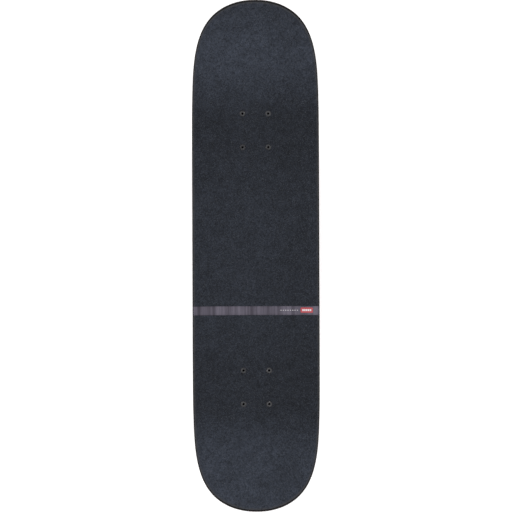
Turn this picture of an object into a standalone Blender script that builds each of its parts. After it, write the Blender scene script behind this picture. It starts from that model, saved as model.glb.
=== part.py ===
# A complete street skateboard: deck, two sheets of grip tape, two trucks and four wheels.
# Metres, +X to the nose, +Y to the rider's left, +Z up. The wheels stand on Z = 0 and the
# origin is under the middle of the deck.
import bpy
import bmesh
from math import cos, hypot, pi, radians, sin, sqrt, tan
from mathutils import Matrix, Vector

mm = 0.001
clearance = 0.3 * mm

# Deck
deck_half_width = 101.7 * mm
deck_thickness = 11.0 * mm
deck_underside = 79.0 * mm
edge_radius = 2.4 * mm
outline_start = 45.0 * mm
outline_power = 8.0
nose = {"tip": 400.1 * mm, "round": 2.08, "bend": 243.5 * mm, "angle": radians(21)}
tail = {"tip": 400.3 * mm, "round": 2.10, "bend": 252.5 * mm, "angle": radians(20)}
bend_radius = 110.0 * mm
concave_depth = 9.0 * mm
concave_start = 32.0 * mm
concave_power = 1.8
concave_fade = 0.4
# rows of points in the flat middle, as shares of the way to the bend: none ends under a baseplate
flat_rows = (1.0, 0.66, 0.33)

# Grip tape: two sheets with a strip of bare veneer between them
grip_thickness = 0.7 * mm
grip_inset = 1.4 * mm
grip_gap_middle = -87.5 * mm
grip_gap_width = 14.5 * mm

# Truck places, and the standard mounting pattern
truck_middle = -4.4 * mm
truck_offset = 206.2 * mm
bolt_length_spacing = 53.975 * mm
bolt_width_spacing = 41.275 * mm

# Mounting bolts and their lock nuts
bolt_radius = 2.4 * mm
bolt_head_radius = 4.7 * mm
bolt_hole_radius = 2.75 * mm
bolt_length = 25.4 * mm
bolt_head_rise = 0.6 * mm
head_rim = 0.4 * mm
head_cone_angle = radians(41)
socket_width = 3.2 * mm
socket_depth = 2.0 * mm
nut_width = 9.5 * mm
nut_height = 5.8 * mm

# Truck, in its own frame: x points away from the board's middle, z = 0 is the deck's underside
plate_length = 80.0 * mm
plate_width = 57.0 * mm
plate_thickness = 6.5 * mm
plate_corner = 9.0 * mm
axle_drop = 53.0 * mm
kingpin_top = -14.5 * mm
kingpin_lean = radians(14)
pivot_tip = Vector((19.0 * mm, 0.0, -12.0 * mm))

# Along the kingpin, from its top end down
kingpin_radius = 4.75 * mm
kingpin_head_top = 2.6 * mm
kingpin_head_height = 6.0 * mm
kingpin_head_width = 14.3 * mm
kingpin_end = 60.5 * mm
seat_depth = 13.0 * mm
cup_washer_thickness = 1.8 * mm
upper_bushing_height = 15.4 * mm
lower_bushing_height = 10.0 * mm
ring_web = 7.8 * mm
ring_height = 11.0 * mm
ring_radius = 16.5 * mm
ring_seat_radius = 13.2 * mm
ring_bore = 9.0 * mm
bushing_radius = 12.4 * mm
kingpin_nut_height = 7.0 * mm

# Pivot
cup_radius = 7.7 * mm
cup_base = 2.0 * mm
cup_length = 10.8 * mm
stem_radius = 5.0 * mm
arm_radius = 8.5 * mm
scoop_radius = 16.2 * mm
scoop_depth = 24.0 * mm

# Hanger, axle and wheel
hanger_half_width = 68.2 * mm
hanger_end_radius = 8.5 * mm
hanger_middle_radius = 10.0 * mm
axle_radius = 4.0 * mm
axle_half_length = 101.6 * mm
wheel_radius = 26.0 * mm
wheel_half_width = 16.0 * mm
bearing_radius = 11.0 * mm
bearing_width = 7.0 * mm
race_radius = 6.0 * mm
spacer_radius = 5.0 * mm
spacer_length = 10.0 * mm
speed_washer = 1.0 * mm
speed_washer_radius = 5.5 * mm
axle_nut_width = 12.7 * mm
axle_nut_height = 6.5 * mm

# Worked out from the sizes above
deck_top = deck_underside + deck_thickness
axle_height = deck_underside - axle_drop
stack_start = hanger_half_width + clearance
stack_length = 2 * speed_washer + 2 * bearing_width + spacer_length
wheel_middle = stack_start + stack_length / 2
upper_stack = cup_washer_thickness + upper_bushing_height + 3 * clearance
ring_depth = seat_depth + upper_stack + ring_web / 2
ring_middle = Vector((kingpin_top - ring_depth * sin(kingpin_lean), 0, -ring_depth * cos(kingpin_lean)))
steering = (pivot_tip - ring_middle).normalized()


# ---------- materials ----------

def material(name, colour, roughness, metallic=0.0):
    made = bpy.data.materials.get(name)
    if made is None:
        made = bpy.data.materials.new(name)
        made.use_nodes = True
        shader = made.node_tree.nodes["Principled BSDF"]
        shader.inputs["Base Color"].default_value = (*colour, 1.0)
        shader.inputs["Roughness"].default_value = roughness
        shader.inputs["Metallic"].default_value = metallic
        made.diffuse_color = (*colour, 1.0)
    return made


def maple():
    return material("stained_maple", (0.075, 0.060, 0.066), 0.45)


def grit():
    return material("black_grip", (0.030, 0.033, 0.042), 0.95)


def cast_aluminium():
    return material("cast_aluminium", (0.62, 0.62, 0.63), 0.38, 1.0)


def black_steel():
    return material("black_steel", (0.055, 0.058, 0.066), 0.38, 1.0)


def zinc_steel():
    return material("zinc_steel", (0.60, 0.60, 0.58), 0.30, 1.0)


def bearing_steel():
    return material("bearing_steel", (0.52, 0.53, 0.55), 0.24, 1.0)


def white_urethane():
    return material("white_urethane", (0.80, 0.78, 0.71), 0.42)


def black_urethane():
    return material("black_urethane", (0.022, 0.022, 0.024), 0.55)


# ---------- shapes ----------

def add_mesh(name, points, faces, paint, frame, smooth_below=radians(32)):
    mesh = bpy.data.meshes.new(name)
    mesh.from_pydata(points, [], faces)
    shape = bmesh.new()
    shape.from_mesh(mesh)
    bmesh.ops.recalc_face_normals(shape, faces=shape.faces)
    shape.to_mesh(mesh)
    shape.free()
    mesh.shade_smooth()
    mesh.set_sharp_from_angle(angle=smooth_below)
    mesh.materials.append(paint)
    item = bpy.data.objects.new(name, mesh)
    bpy.context.scene.collection.objects.link(item)
    item.matrix_world = frame
    return item


# Joins rings of points with faces. A ring of one point is a pole, and a looped skin has a bore.
def add_skin(name, rings, paint, frame, looped=False):
    points = [point for ring in rings for point in ring]
    starts = [sum(len(ring) for ring in rings[:index]) for index in range(len(rings))]
    size = max(len(ring) for ring in rings)
    pairs = list(zip(range(len(rings) - 1), range(1, len(rings))))
    if looped:
        pairs.append((len(rings) - 1, 0))
    faces = []
    for above, below in pairs:
        for step in range(size):
            turn = (step + 1) % size
            corners = []
            for ring, place in ((above, step), (above, turn), (below, turn), (below, step)):
                corner = starts[ring] + (place if len(rings[ring]) > 1 else 0)
                if corner not in corners:
                    corners.append(corner)
            faces.append(corners)
    if not looped:
        for end in (0, len(rings) - 1):
            if len(rings[end]) > 1:
                faces.append([starts[end] + place for place in range(size)])
    return add_mesh(name, points, faces, paint, frame)


def circle(radius, height, segments):
    if radius == 0:
        return [(0.0, 0.0, height)]
    turns = [2 * pi * step / segments for step in range(segments)]
    return [(radius * cos(turn), radius * sin(turn), height) for turn in turns]


# A hexagon with a point at each corner and at the middle of each side
def hexagon(width, height):
    points = []
    for step in range(12):
        reach = width / 2 if step % 2 else width / 2 / cos(pi / 6)
        turn = pi / 6 * step
        points.append((reach * cos(turn), reach * sin(turn), height))
    return points


# A shape turned about its own Z axis, from (radius, height) pairs
def add_turned(name, profile, segments, paint, frame, bored=False):
    rings = [circle(radius, height, segments) for radius, height in profile]
    return add_skin(name, rings, paint, frame, looped=bored)


# A lock nut from z = 0 to z = height, with its nylon collar at the top
def add_nut(name, width, height, bore, paint, frame):
    body = height * 0.72
    collar = width / 2 * 0.88
    rings = [
        circle(bore, 0, 12),
        circle(width / 2 * 0.97, 0, 12),
        hexagon(width, height * 0.09),
        hexagon(width, body),
        circle(collar, body, 12),
        circle(collar * 0.94, height, 12),
        circle(bore, height, 12),
    ]
    return add_skin(name, rings, paint, frame, looped=True)


def combine(item, other, operation):
    step = item.modifiers.new(f"{operation.lower()}_{other.name}", "BOOLEAN")
    step.operation = operation
    step.object = other
    step.solver = "EXACT"
    other.hide_render = True
    other.display_type = "WIRE"


def cut(item, *cutters):
    for cutter in cutters:
        combine(item, cutter, "DIFFERENCE")


def join(item, *others):
    for other in others:
        combine(item, other, "UNION")


# Smooth by angle again once the cuts are made
def smooth_after(item, below=radians(32)):
    depsgraph = bpy.context.evaluated_depsgraph_get()
    mesh = bpy.data.meshes.new_from_object(item.evaluated_get(depsgraph))
    mesh.shade_smooth()
    mesh.set_sharp_from_angle(angle=below)
    for helper in [step.object for step in item.modifiers]:
        bpy.data.objects.remove(helper)
    item.modifiers.clear()
    item.data = mesh


# ---------- deck and grip tape ----------

def smooth_step(value):
    value = min(max(value, 0.0), 1.0)
    return value * value * (3 - 2 * value)


def end_at(x):
    return nose if x >= 0 else tail


# Height and slope of the kick: an arc, and then a straight rise
def kick(x):
    end = end_at(x)
    run = abs(x) - end["bend"]
    if run <= 0:
        return 0.0, 0.0
    arc = bend_radius * sin(end["angle"])
    if run < arc:
        rise = bend_radius - sqrt(bend_radius ** 2 - run ** 2)
        slope = run / sqrt(bend_radius ** 2 - run ** 2)
    else:
        slope = tan(end["angle"])
        rise = bend_radius * (1 - cos(end["angle"])) + (run - arc) * slope
    return rise, slope if x >= 0 else -slope


def concave(x, y):
    end = end_at(x)
    across = max(abs(y) - concave_start, 0.0) / (deck_half_width - concave_start)
    fade = smooth_step((abs(x) - end["bend"]) / (end["tip"] - end["bend"]))
    return concave_depth * across ** concave_power * (1 - concave_fade * fade)


# A point of the deck, at a depth below its top surface measured square to the kick
def deck_point(x, y, depth):
    rise, slope = kick(x)
    tilt = hypot(1, slope)
    return (x + depth * slope / tilt, y, deck_top + rise + concave(x, y) - depth / tilt)


def half_width(x):
    end = end_at(x)
    along = max(abs(x) - outline_start, 0.0) / (end["tip"] - outline_start)
    return deck_half_width * max(1 - along ** outline_power, 0.0) ** (1 / end["round"])


# Rows across the deck from the nose's tip to its middle, or the same for the tail
def rows_of(end, sign):
    bend_end = end["bend"] + bend_radius * sin(end["angle"])
    curved, bent = 12, 5
    rows = [end["tip"] - (end["tip"] - bend_end) * (step / curved) ** 2 for step in range(curved)]
    rows += [bend_end + (end["bend"] - bend_end) * step / bent for step in range(bent)]
    rows += [end["bend"] * share for share in flat_rows]
    return [sign * x for x in rows]


# The outline at a row, moved inwards: its x and its half width
def outline_row(x, inset):
    end = end_at(x)
    if abs(x) >= end["tip"]:
        return (abs(x) - inset) * (1 if x > 0 else -1), 0.0
    reach = 0.02 * mm
    slope = (half_width(x + reach) - half_width(x - reach)) / (2 * reach)
    tilt = hypot(1, slope)
    return x + inset * slope / tilt, half_width(x) - inset / tilt


# A sheet that follows the deck: its top and bottom are grids of rows, joined by layers at the rim.
# Each layer is an inset from the outline and a depth.
def add_sheet(name, rows, layers, paint):
    across = (-1, -0.8, -0.6, -0.32, 0, 0.32, 0.6, 0.8, 1)
    last = len(rows) - 1
    tips = [index for index in (0, last) if abs(rows[index]) >= end_at(rows[index])["tip"]]
    rim = [(0, side) for side in (across[4:5] if 0 in tips else across)]
    rim += [(index, 1) for index in range(1, last)]
    rim += [(last, side) for side in (across[4:5] if last in tips else reversed(across))]
    rim += [(index, -1) for index in range(last - 1, 0, -1)]
    points = []
    places = {}

    def place(layer, index, side):
        if index in tips:
            side = 0
        key = (layer, index, side)
        if key not in places:
            inset, depth = layers[layer]
            x, width = outline_row(rows[index], inset)
            places[key] = len(points)
            points.append(deck_point(x, side * width, depth))
        return places[key]

    faces = []
    for layer in range(len(layers) - 1):
        for start, finish in zip(rim, rim[1:] + rim[:1]):
            above = [place(layer, *start), place(layer, *finish)]
            faces.append(above + [place(layer + 1, *finish), place(layer + 1, *start)])
    for layer in (0, len(layers) - 1):
        for index in range(last):
            for left, right in zip(across, across[1:]):
                spots = ((index, left), (index, right), (index + 1, right), (index + 1, left))
                corners = [place(layer, *spot) for spot in spots]
                faces.append(list(dict.fromkeys(corners)))
    return add_mesh(name, points, faces, paint, Matrix())


def deck_rows():
    return rows_of(nose, 1) + [0.0] + list(reversed(rows_of(tail, -1)))


def make_deck():
    round_edge = [0, pi / 4, pi / 2]
    upper = [(edge_radius * (1 - sin(turn)), edge_radius * (1 - cos(turn))) for turn in round_edge]
    lower = [(inset, deck_thickness - depth) for inset, depth in reversed(upper)]
    deck = add_sheet("deck", deck_rows(), upper + lower, maple())
    flare = tan(head_cone_angle)
    mouth = bolt_head_radius - (bolt_head_rise - head_rim) * flare + 0.4 * mm
    bore = [
        (0, 2 * mm),
        (mouth + 2 * mm * flare, 2 * mm),
        (bolt_hole_radius, -(mouth - bolt_hole_radius) / flare),
        (bolt_hole_radius, -2 * deck_thickness),
        (0, -2 * deck_thickness),
    ]
    for label, x, y in bolt_places():
        frame = Matrix.Translation((x, y, deck_top))
        cut(deck, add_turned(f"bore_{label}", bore, 16, maple(), frame))
    smooth_after(deck)


def make_grip_tape():
    start = grip_gap_middle + grip_gap_width / 2
    finish = grip_gap_middle - grip_gap_width / 2
    front = [x for x in deck_rows() if x > start + 10 * mm] + [start]
    rear = [finish] + [x for x in deck_rows() if x < finish - 10 * mm]
    layers = [(grip_inset, -clearance - grip_thickness), (grip_inset, -clearance)]
    hole = [(0, 5 * mm), (bolt_head_radius + 0.35 * mm, 5 * mm)]
    hole += [(radius, -1 * mm) for radius, height in reversed(hole)]
    for name, rows, side in (("grip_tape_front", front, 1), ("grip_tape_rear", rear, -1)):
        sheet = add_sheet(name, rows, layers, grit())
        for label, x, y in bolt_places():
            if x * side > 0:
                frame = Matrix.Translation((x, y, deck_top))
                cut(sheet, add_turned(f"hole_{label}", hole, 16, grit(), frame))
        smooth_after(sheet)


# ---------- fasteners of the deck ----------

def bolt_places():
    places = []
    for truck, middle, outward in truck_places():
        for row, step in (("outer", 1), ("inner", -1)):
            for side, reach in (("left", 1), ("right", -1)):
                x = middle + outward * step * bolt_length_spacing / 2
                places.append((f"{truck}_{row}_{side}", x, reach * bolt_width_spacing / 2))
    return places


def make_mounting_hardware():
    head = bolt_head_rise - head_rim
    cone = head - (bolt_head_radius - bolt_radius) / tan(head_cone_angle)
    end = bolt_head_rise - bolt_length
    rings = [
        hexagon(socket_width, bolt_head_rise - socket_depth),
        hexagon(socket_width, bolt_head_rise),
        circle(bolt_head_radius - 0.3 * mm, bolt_head_rise, 12),
        circle(bolt_head_radius, bolt_head_rise - 0.2 * mm, 12),
        circle(bolt_head_radius, head, 12),
        circle(bolt_radius, cone, 12),
        circle(bolt_radius, end + 0.6 * mm, 12),
        circle(bolt_radius - 0.5 * mm, end, 12),
    ]
    nut_face = deck_underside - clearance - plate_thickness - clearance
    under = Matrix.Rotation(pi, 4, "X")
    for label, x, y in bolt_places():
        truck, place = label.split("_", 1)
        add_skin(f"{truck}_bolt_{place}", rings, black_steel(), Matrix.Translation((x, y, deck_top)))
        frame = Matrix.Translation((x, y, nut_face)) @ under
        add_nut(f"{truck}_nut_{place}", nut_width, nut_height, bolt_radius + 0.3 * mm, zinc_steel(), frame)


# ---------- trucks ----------

def truck_places():
    front = ("front", truck_middle + truck_offset, 1)
    rear = ("rear", truck_middle - truck_offset, -1)
    return front, rear


def truck_frame(middle, outward):
    turn = Matrix() if outward > 0 else Matrix.Rotation(pi, 4, "Z")
    return Matrix.Translation((middle, 0, deck_underside)) @ turn


# Z runs up the kingpin, and depths below its top end are negative
def kingpin_frame(truck):
    return truck @ Matrix.Translation((kingpin_top, 0, 0)) @ Matrix.Rotation(kingpin_lean, 4, "Y")


# Z runs from the ring's middle to the pivot's tip
def steering_frame(truck, origin):
    return truck @ Matrix.Translation(origin) @ steering.to_track_quat("Z", "Y").to_matrix().to_4x4()


# A flat plate with round corners, from rings of (half length, half width, height)
def add_plate(name, sizes, corner, paint, frame):
    rings = []
    for length, width, height in sizes:
        ring = []
        for quarter in range(4):
            for step in range(4):
                turn = pi / 2 * (quarter + step / 3)
                x = (length - corner) * (1 if quarter in (0, 3) else -1)
                y = (width - corner) * (1 if quarter in (0, 1) else -1)
                ring.append((x + corner * cos(turn), y + corner * sin(turn), height))
        rings.append(ring)
    return add_skin(name, rings, paint, frame)


def make_baseplate(name, truck):
    paint = cast_aluminium()
    king = kingpin_frame(truck)
    pivot = steering_frame(truck, pivot_tip)
    length, width = plate_length / 2, plate_width / 2
    top, bottom = -clearance, -clearance - plate_thickness
    draft = 1.2 * mm
    sizes = [(length, width, top), (length, width, -4.5 * mm), (length - draft, width - draft, bottom)]
    plate = add_plate(f"{name}_baseplate", sizes, plate_corner, paint, truck)
    boss = [(0, 2 * mm), (14.5 * mm, 2 * mm), (12.8 * mm, -seat_depth), (0, -seat_depth)]
    housing = [(0, 8 * mm), (12 * mm, 8 * mm), (11 * mm, -8 * mm), (0, -8 * mm)]
    join(plate, add_turned(f"{name}_boss", boss, 20, paint, king))
    join(plate, add_turned(f"{name}_housing", housing, 20, paint, pivot))
    slab = [(60 * mm, 40 * mm, 30 * mm), (60 * mm, 40 * mm, top)]
    trim = add_plate(f"{name}_trim", slab, plate_corner, paint, truck)
    pocket_floor = kingpin_head_top + kingpin_head_height + clearance
    wide = kingpin_head_width / 2 / cos(pi / 6) + 0.4 * mm
    bore = kingpin_radius + clearance
    kingpin_hole = [(0, 9 * mm), (wide, 9 * mm), (wide, -pocket_floor), (bore, -pocket_floor)]
    kingpin_hole += [(bore, -30 * mm), (0, -30 * mm)]
    socket = cup_radius + clearance
    floor = cup_base + 2 * clearance
    pivot_pocket = [(0, floor), (socket, floor), (socket, -30 * mm), (0, -30 * mm)]
    cut(plate, trim)
    cut(plate, add_turned(f"{name}_kingpin_hole", kingpin_hole, 20, paint, king))
    cut(plate, add_turned(f"{name}_pivot_pocket", pivot_pocket, 20, paint, pivot))
    hole = [(0, 9 * mm), (bolt_hole_radius, 9 * mm), (bolt_hole_radius, -30 * mm), (0, -30 * mm)]
    for x in (-bolt_length_spacing / 2, bolt_length_spacing / 2):
        for y in (-bolt_width_spacing / 2, bolt_width_spacing / 2):
            frame = truck @ Matrix.Translation((x, y, 0))
            cut(plate, add_turned(f"{name}_hole_{len(plate.modifiers)}", hole, 12, paint, frame))
    smooth_after(plate)


def make_pivot_cup(name, truck):
    back = cup_base + clearance
    front = back - cup_length
    profile = [
        (0, back),
        (cup_radius - 0.8 * mm, back),
        (cup_radius, back - 0.8 * mm),
        (cup_radius, front),
        (6.6 * mm, front),
        (5.5 * mm, -1.0 * mm),
        (3.6 * mm, clearance),
        (0, clearance),
    ]
    add_turned(f"{name}_pivot_cup", profile, 16, black_urethane(), steering_frame(truck, pivot_tip))


def make_kingpin(name, truck):
    head = kingpin_head_top + kingpin_head_height
    rings = [
        circle(kingpin_head_width / 2 * 0.95, -kingpin_head_top, 12),
        hexagon(kingpin_head_width, -kingpin_head_top - 0.7 * mm),
        hexagon(kingpin_head_width, -head),
        circle(kingpin_radius, -head, 12),
        circle(kingpin_radius, -kingpin_end + 1 * mm, 12),
        circle(kingpin_radius - 0.9 * mm, -kingpin_end, 12),
    ]
    add_skin(f"{name}_kingpin", rings, black_steel(), kingpin_frame(truck))


# A bushing or a washer on the kingpin, from (radius, depth) pairs of its outer side
def add_on_kingpin(name, outer, bore, paint, truck):
    profile = [(bore, -outer[0][1])] + [(radius, -depth) for radius, depth in outer]
    profile.append((bore, -outer[-1][1]))
    add_turned(name, profile, 16, paint, kingpin_frame(truck), bored=True)


def make_kingpin_stack(name, truck):
    gap = clearance
    bore = kingpin_radius + 0.35 * mm
    washer = cup_washer_thickness
    lip = 1.2 * mm

    top = seat_depth + gap
    cupped = [(11 * mm, top), (13.4 * mm, top + lip), (13.4 * mm, top + washer + lip)]
    cupped += [(12.7 * mm, top + washer + lip), (12.7 * mm, top + washer)]
    add_on_kingpin(f"{name}_washer_upper", cupped, bore, zinc_steel(), truck)

    start = top + washer + gap
    finish = ring_depth - ring_web / 2 - gap
    barrel = [(bushing_radius - 0.8 * mm, start), (bushing_radius, start + 1 * mm)]
    barrel += [(bushing_radius, finish - 1 * mm), (bushing_radius - 0.8 * mm, finish)]
    add_on_kingpin(f"{name}_bushing_upper", barrel, bore, black_urethane(), truck)

    start = ring_depth + ring_web / 2 + gap
    finish = start + lower_bushing_height
    cone = [(bushing_radius - 0.8 * mm, start), (bushing_radius, start + 1 * mm)]
    cone += [(bushing_radius - 0.4 * mm, start + 3 * mm), (8.8 * mm, finish)]
    add_on_kingpin(f"{name}_bushing_lower", cone, bore, black_urethane(), truck)

    start = finish + gap
    finish = start + washer
    rim = [(9.8 * mm, start), (9.8 * mm, start - 0.9 * mm), (10.6 * mm, start - 0.9 * mm)]
    rim += [(10.6 * mm, start + 0.6 * mm), (9.0 * mm, finish)]
    add_on_kingpin(f"{name}_washer_lower", rim, bore, zinc_steel(), truck)

    frame = kingpin_frame(truck) @ Matrix.Translation((0, 0, -finish - gap)) @ Matrix.Rotation(pi, 4, "X")
    add_nut(f"{name}_kingpin_nut", kingpin_head_width, kingpin_nut_height, bore, zinc_steel(), frame)


# The beam around the axle: round at its ends and tall in the middle, where it meets the arm
def add_beam(name, paint, frame):
    rings = []
    stations = (-1, -0.93, -0.66, -0.42, -0.24, -0.1, 0.1, 0.24, 0.42, 0.66, 0.93, 1)
    for station in stations:
        y = station * hanger_half_width
        middle = max(1 - abs(station) / 0.75, 0.0)
        thick = hanger_end_radius + (hanger_middle_radius - hanger_end_radius) * smooth_step(middle)
        tall = thick + 21 * mm * smooth_step(middle) ** 1.2
        ring = []
        for step in range(14):
            turn = 2 * pi * step / 14
            reach = tall if sin(turn) > 0 else thick
            ring.append((thick * cos(turn), y, reach * sin(turn)))
        rings.append(ring)
    return add_skin(name, rings, paint, frame)


def make_hanger(name, truck):
    paint = cast_aluminium()
    king = kingpin_frame(truck)
    arm_frame = steering_frame(truck, ring_middle)
    reach = (pivot_tip - ring_middle).length
    high, low = ring_depth - ring_height / 2, ring_depth + ring_height / 2

    hanger = add_beam(f"{name}_hanger", paint, truck @ Matrix.Translation((0, 0, -axle_drop)))
    ring = [(0, -high), (ring_radius - 1 * mm, -high), (ring_radius, -high - 1 * mm)]
    ring += [(ring_radius, -low + 1 * mm), (ring_radius - 1 * mm, -low), (0, -low)]
    arm = [(0, 6 * mm), (arm_radius, 6 * mm), (arm_radius, reach - 13 * mm)]
    arm += [(stem_radius + 1 * mm, reach - 10.5 * mm), (stem_radius, reach - 2.5 * mm)]
    arm += [(stem_radius - 1.6 * mm, reach - clearance), (0, reach - clearance)]
    join(hanger, add_turned(f"{name}_ring", ring, 24, paint, king))
    join(hanger, add_turned(f"{name}_arm", arm, 16, paint, arm_frame))

    seat = ring_web / 2
    bore = [(0, 0), (scoop_radius, 0), (scoop_radius, -scoop_depth)]
    bore += [(ring_seat_radius, -scoop_depth - 2 * mm), (ring_seat_radius, -ring_depth + seat)]
    bore += [(ring_bore, -ring_depth + seat), (ring_bore, -ring_depth - seat)]
    bore += [(ring_seat_radius, -ring_depth - seat), (ring_seat_radius, -low - 30 * mm), (0, -low - 30 * mm)]
    rod = axle_radius + clearance
    tunnel = [(0, -80 * mm), (rod, -80 * mm), (rod, 80 * mm), (0, 80 * mm)]
    across = truck @ Matrix.Translation((0, 0, -axle_drop)) @ Matrix.Rotation(-pi / 2, 4, "X")
    cut(hanger, add_turned(f"{name}_ring_bore", bore, 24, paint, king))
    cut(hanger, add_turned(f"{name}_axle_bore", tunnel, 16, paint, across))
    smooth_after(hanger)
    move_origin(hanger, truck @ ring_middle)


# Moves an object's origin to a point, and leaves its shape where it is
def move_origin(item, point):
    shift = Matrix.Translation(point) @ item.matrix_world.to_quaternion().to_matrix().to_4x4()
    item.data.transform(shift.inverted() @ item.matrix_world)
    item.matrix_world = shift


def make_axle(name, truck):
    end, bevel = axle_half_length, 0.8 * mm
    profile = [(0, -end), (axle_radius - bevel, -end), (axle_radius, -end + bevel)]
    profile += [(radius, -height) for radius, height in reversed(profile)]
    frame = truck @ Matrix.Translation((0, 0, -axle_drop)) @ Matrix.Rotation(-pi / 2, 4, "X")
    add_turned(f"{name}_axle", profile, 14, zinc_steel(), frame)


def make_trucks():
    for name, middle, outward in truck_places():
        truck = truck_frame(middle, outward)
        make_baseplate(name, truck)
        make_pivot_cup(name, truck)
        make_kingpin(name, truck)
        make_kingpin_stack(name, truck)
        make_hanger(name, truck)
        make_axle(name, truck)
        print("truck", name)


# ---------- wheels ----------

# Z runs outwards along the axle, and z = 0 is the wheel's middle
def wheel_frame(middle, side):
    turn = Matrix.Rotation(-side * pi / 2, 4, "X")
    return Matrix.Translation((middle, side * wheel_middle, axle_height)) @ turn


def make_wheel(name, frame):
    pocket = bearing_radius + clearance
    shoulder = spacer_length / 2 - clearance
    outer = [
        (13.6 * mm, wheel_half_width),
        (20.5 * mm, 14.2 * mm),
        (24.2 * mm, 12.0 * mm),
        (wheel_radius, 8.0 * mm),
    ]
    bore = [(pocket, wheel_half_width - 2.4 * mm), (pocket, shoulder), (8.2 * mm, shoulder)]
    half = list(reversed(bore)) + outer
    profile = half + [(radius, -height) for radius, height in reversed(half)]
    add_turned(f"{name}_wheel", profile, 28, white_urethane(), frame, bored=True)


# The outer race and its two shields, open at the inner race
def make_bearing(name, frame, height):
    half = bearing_width / 2
    groove, opening, shield = 9.6 * mm, race_radius + 0.35 * mm, 0.6 * mm
    upper = [(groove, half - shield), (opening, half - shield), (opening, half), (bearing_radius, half)]
    profile = upper + [(radius, -z) for radius, z in reversed(upper)]
    place = frame @ Matrix.Translation((0, 0, height))
    add_turned(name, profile, 16, bearing_steel(), place, bored=True)


# Speed washer, inner race, spacer, inner race and speed washer, clamped together on the axle
def make_axle_stack(name, frame):
    half, bore = stack_length / 2, axle_radius + clearance
    race_end = half - speed_washer
    outer = [
        (bore, half),
        (speed_washer_radius, half),
        (speed_washer_radius, race_end),
        (race_radius, race_end),
        (race_radius, spacer_length / 2),
        (spacer_radius, spacer_length / 2),
    ]
    profile = outer + [(radius, -height) for radius, height in reversed(outer)]
    add_turned(f"{name}_axle_stack", profile, 12, bearing_steel(), frame, bored=True)


def make_axle_nut(name, frame):
    place = frame @ Matrix.Translation((0, 0, stack_length / 2 + clearance))
    add_nut(f"{name}_axle_nut", axle_nut_width, axle_nut_height, axle_radius + clearance, zinc_steel(), place)


def make_wheels():
    offset = (spacer_length + bearing_width) / 2
    for truck, middle, outward in truck_places():
        for label, side in (("left", 1), ("right", -1)):
            name = f"{truck}_{label}"
            frame = wheel_frame(middle, side)
            make_wheel(name, frame)
            make_bearing(f"{name}_bearing_inboard", frame, -offset)
            make_bearing(f"{name}_bearing_outboard", frame, offset)
            make_axle_stack(name, frame)
            make_axle_nut(name, frame)
            print("wheel", name)


def main():
    for item in list(bpy.data.objects):
        bpy.data.objects.remove(item)
    make_deck()
    make_grip_tape()
    make_mounting_hardware()
    make_trucks()
    make_wheels()


main()
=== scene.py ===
import bpy
import bmesh
from math import cos, hypot, pi, radians, sin
from mathutils import Matrix, Vector


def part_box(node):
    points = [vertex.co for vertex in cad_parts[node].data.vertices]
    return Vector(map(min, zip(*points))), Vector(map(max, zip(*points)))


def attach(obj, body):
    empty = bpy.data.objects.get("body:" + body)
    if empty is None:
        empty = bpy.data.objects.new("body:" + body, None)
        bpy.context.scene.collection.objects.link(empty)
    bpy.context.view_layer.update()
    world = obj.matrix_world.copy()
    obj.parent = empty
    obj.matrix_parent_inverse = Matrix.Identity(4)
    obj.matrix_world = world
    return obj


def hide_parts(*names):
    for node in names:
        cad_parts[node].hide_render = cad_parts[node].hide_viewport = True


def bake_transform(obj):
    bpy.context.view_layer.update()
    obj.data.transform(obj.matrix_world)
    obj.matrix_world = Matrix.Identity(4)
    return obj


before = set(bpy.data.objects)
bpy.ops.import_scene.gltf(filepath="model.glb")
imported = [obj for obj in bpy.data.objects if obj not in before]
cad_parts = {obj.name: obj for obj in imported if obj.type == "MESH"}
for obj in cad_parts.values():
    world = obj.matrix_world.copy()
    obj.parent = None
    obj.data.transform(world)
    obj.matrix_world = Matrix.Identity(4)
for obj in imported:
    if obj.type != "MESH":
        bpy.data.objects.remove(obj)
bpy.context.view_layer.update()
mm = 0.001
print("frame loaded,", len(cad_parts), "nodes")


def inMm(*rows):
    # profiles and places that are written in millimetres
    return [tuple(value * mm for value in row) for row in rows]


# Small tools for meshes

def newPiece(name, mesh):
    item = bpy.data.objects.new(name, mesh)
    bpy.context.scene.collection.objects.link(item)
    return item


def bakeModifiers(item):
    # keeps the evaluated shape as a plain mesh
    graph = bpy.context.evaluated_depsgraph_get()
    mesh = bpy.data.meshes.new_from_object(item.evaluated_get(graph))
    item.modifiers.clear()
    item.data = mesh
    return item


def placeMesh(item, place):
    # the place goes into the mesh, and the object stays at the origin
    item.data.transform(place)
    return item


def shadeByAngle(item, degrees=30):
    item.data.shade_smooth()
    item.data.set_sharp_from_angle(angle=radians(degrees))
    return item


def dropPiece(item):
    bpy.data.objects.remove(item)


def pieceFromShape(name, shape):
    mesh = bpy.data.meshes.new(name)
    shape.to_mesh(mesh)
    shape.free()
    return newPiece(name, mesh)


def faceOutwards(item):
    shape = bmesh.new()
    shape.from_mesh(item.data)
    bmesh.ops.recalc_face_normals(shape, faces=shape.faces)
    shape.to_mesh(item.data)
    shape.free()
    return item


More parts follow.
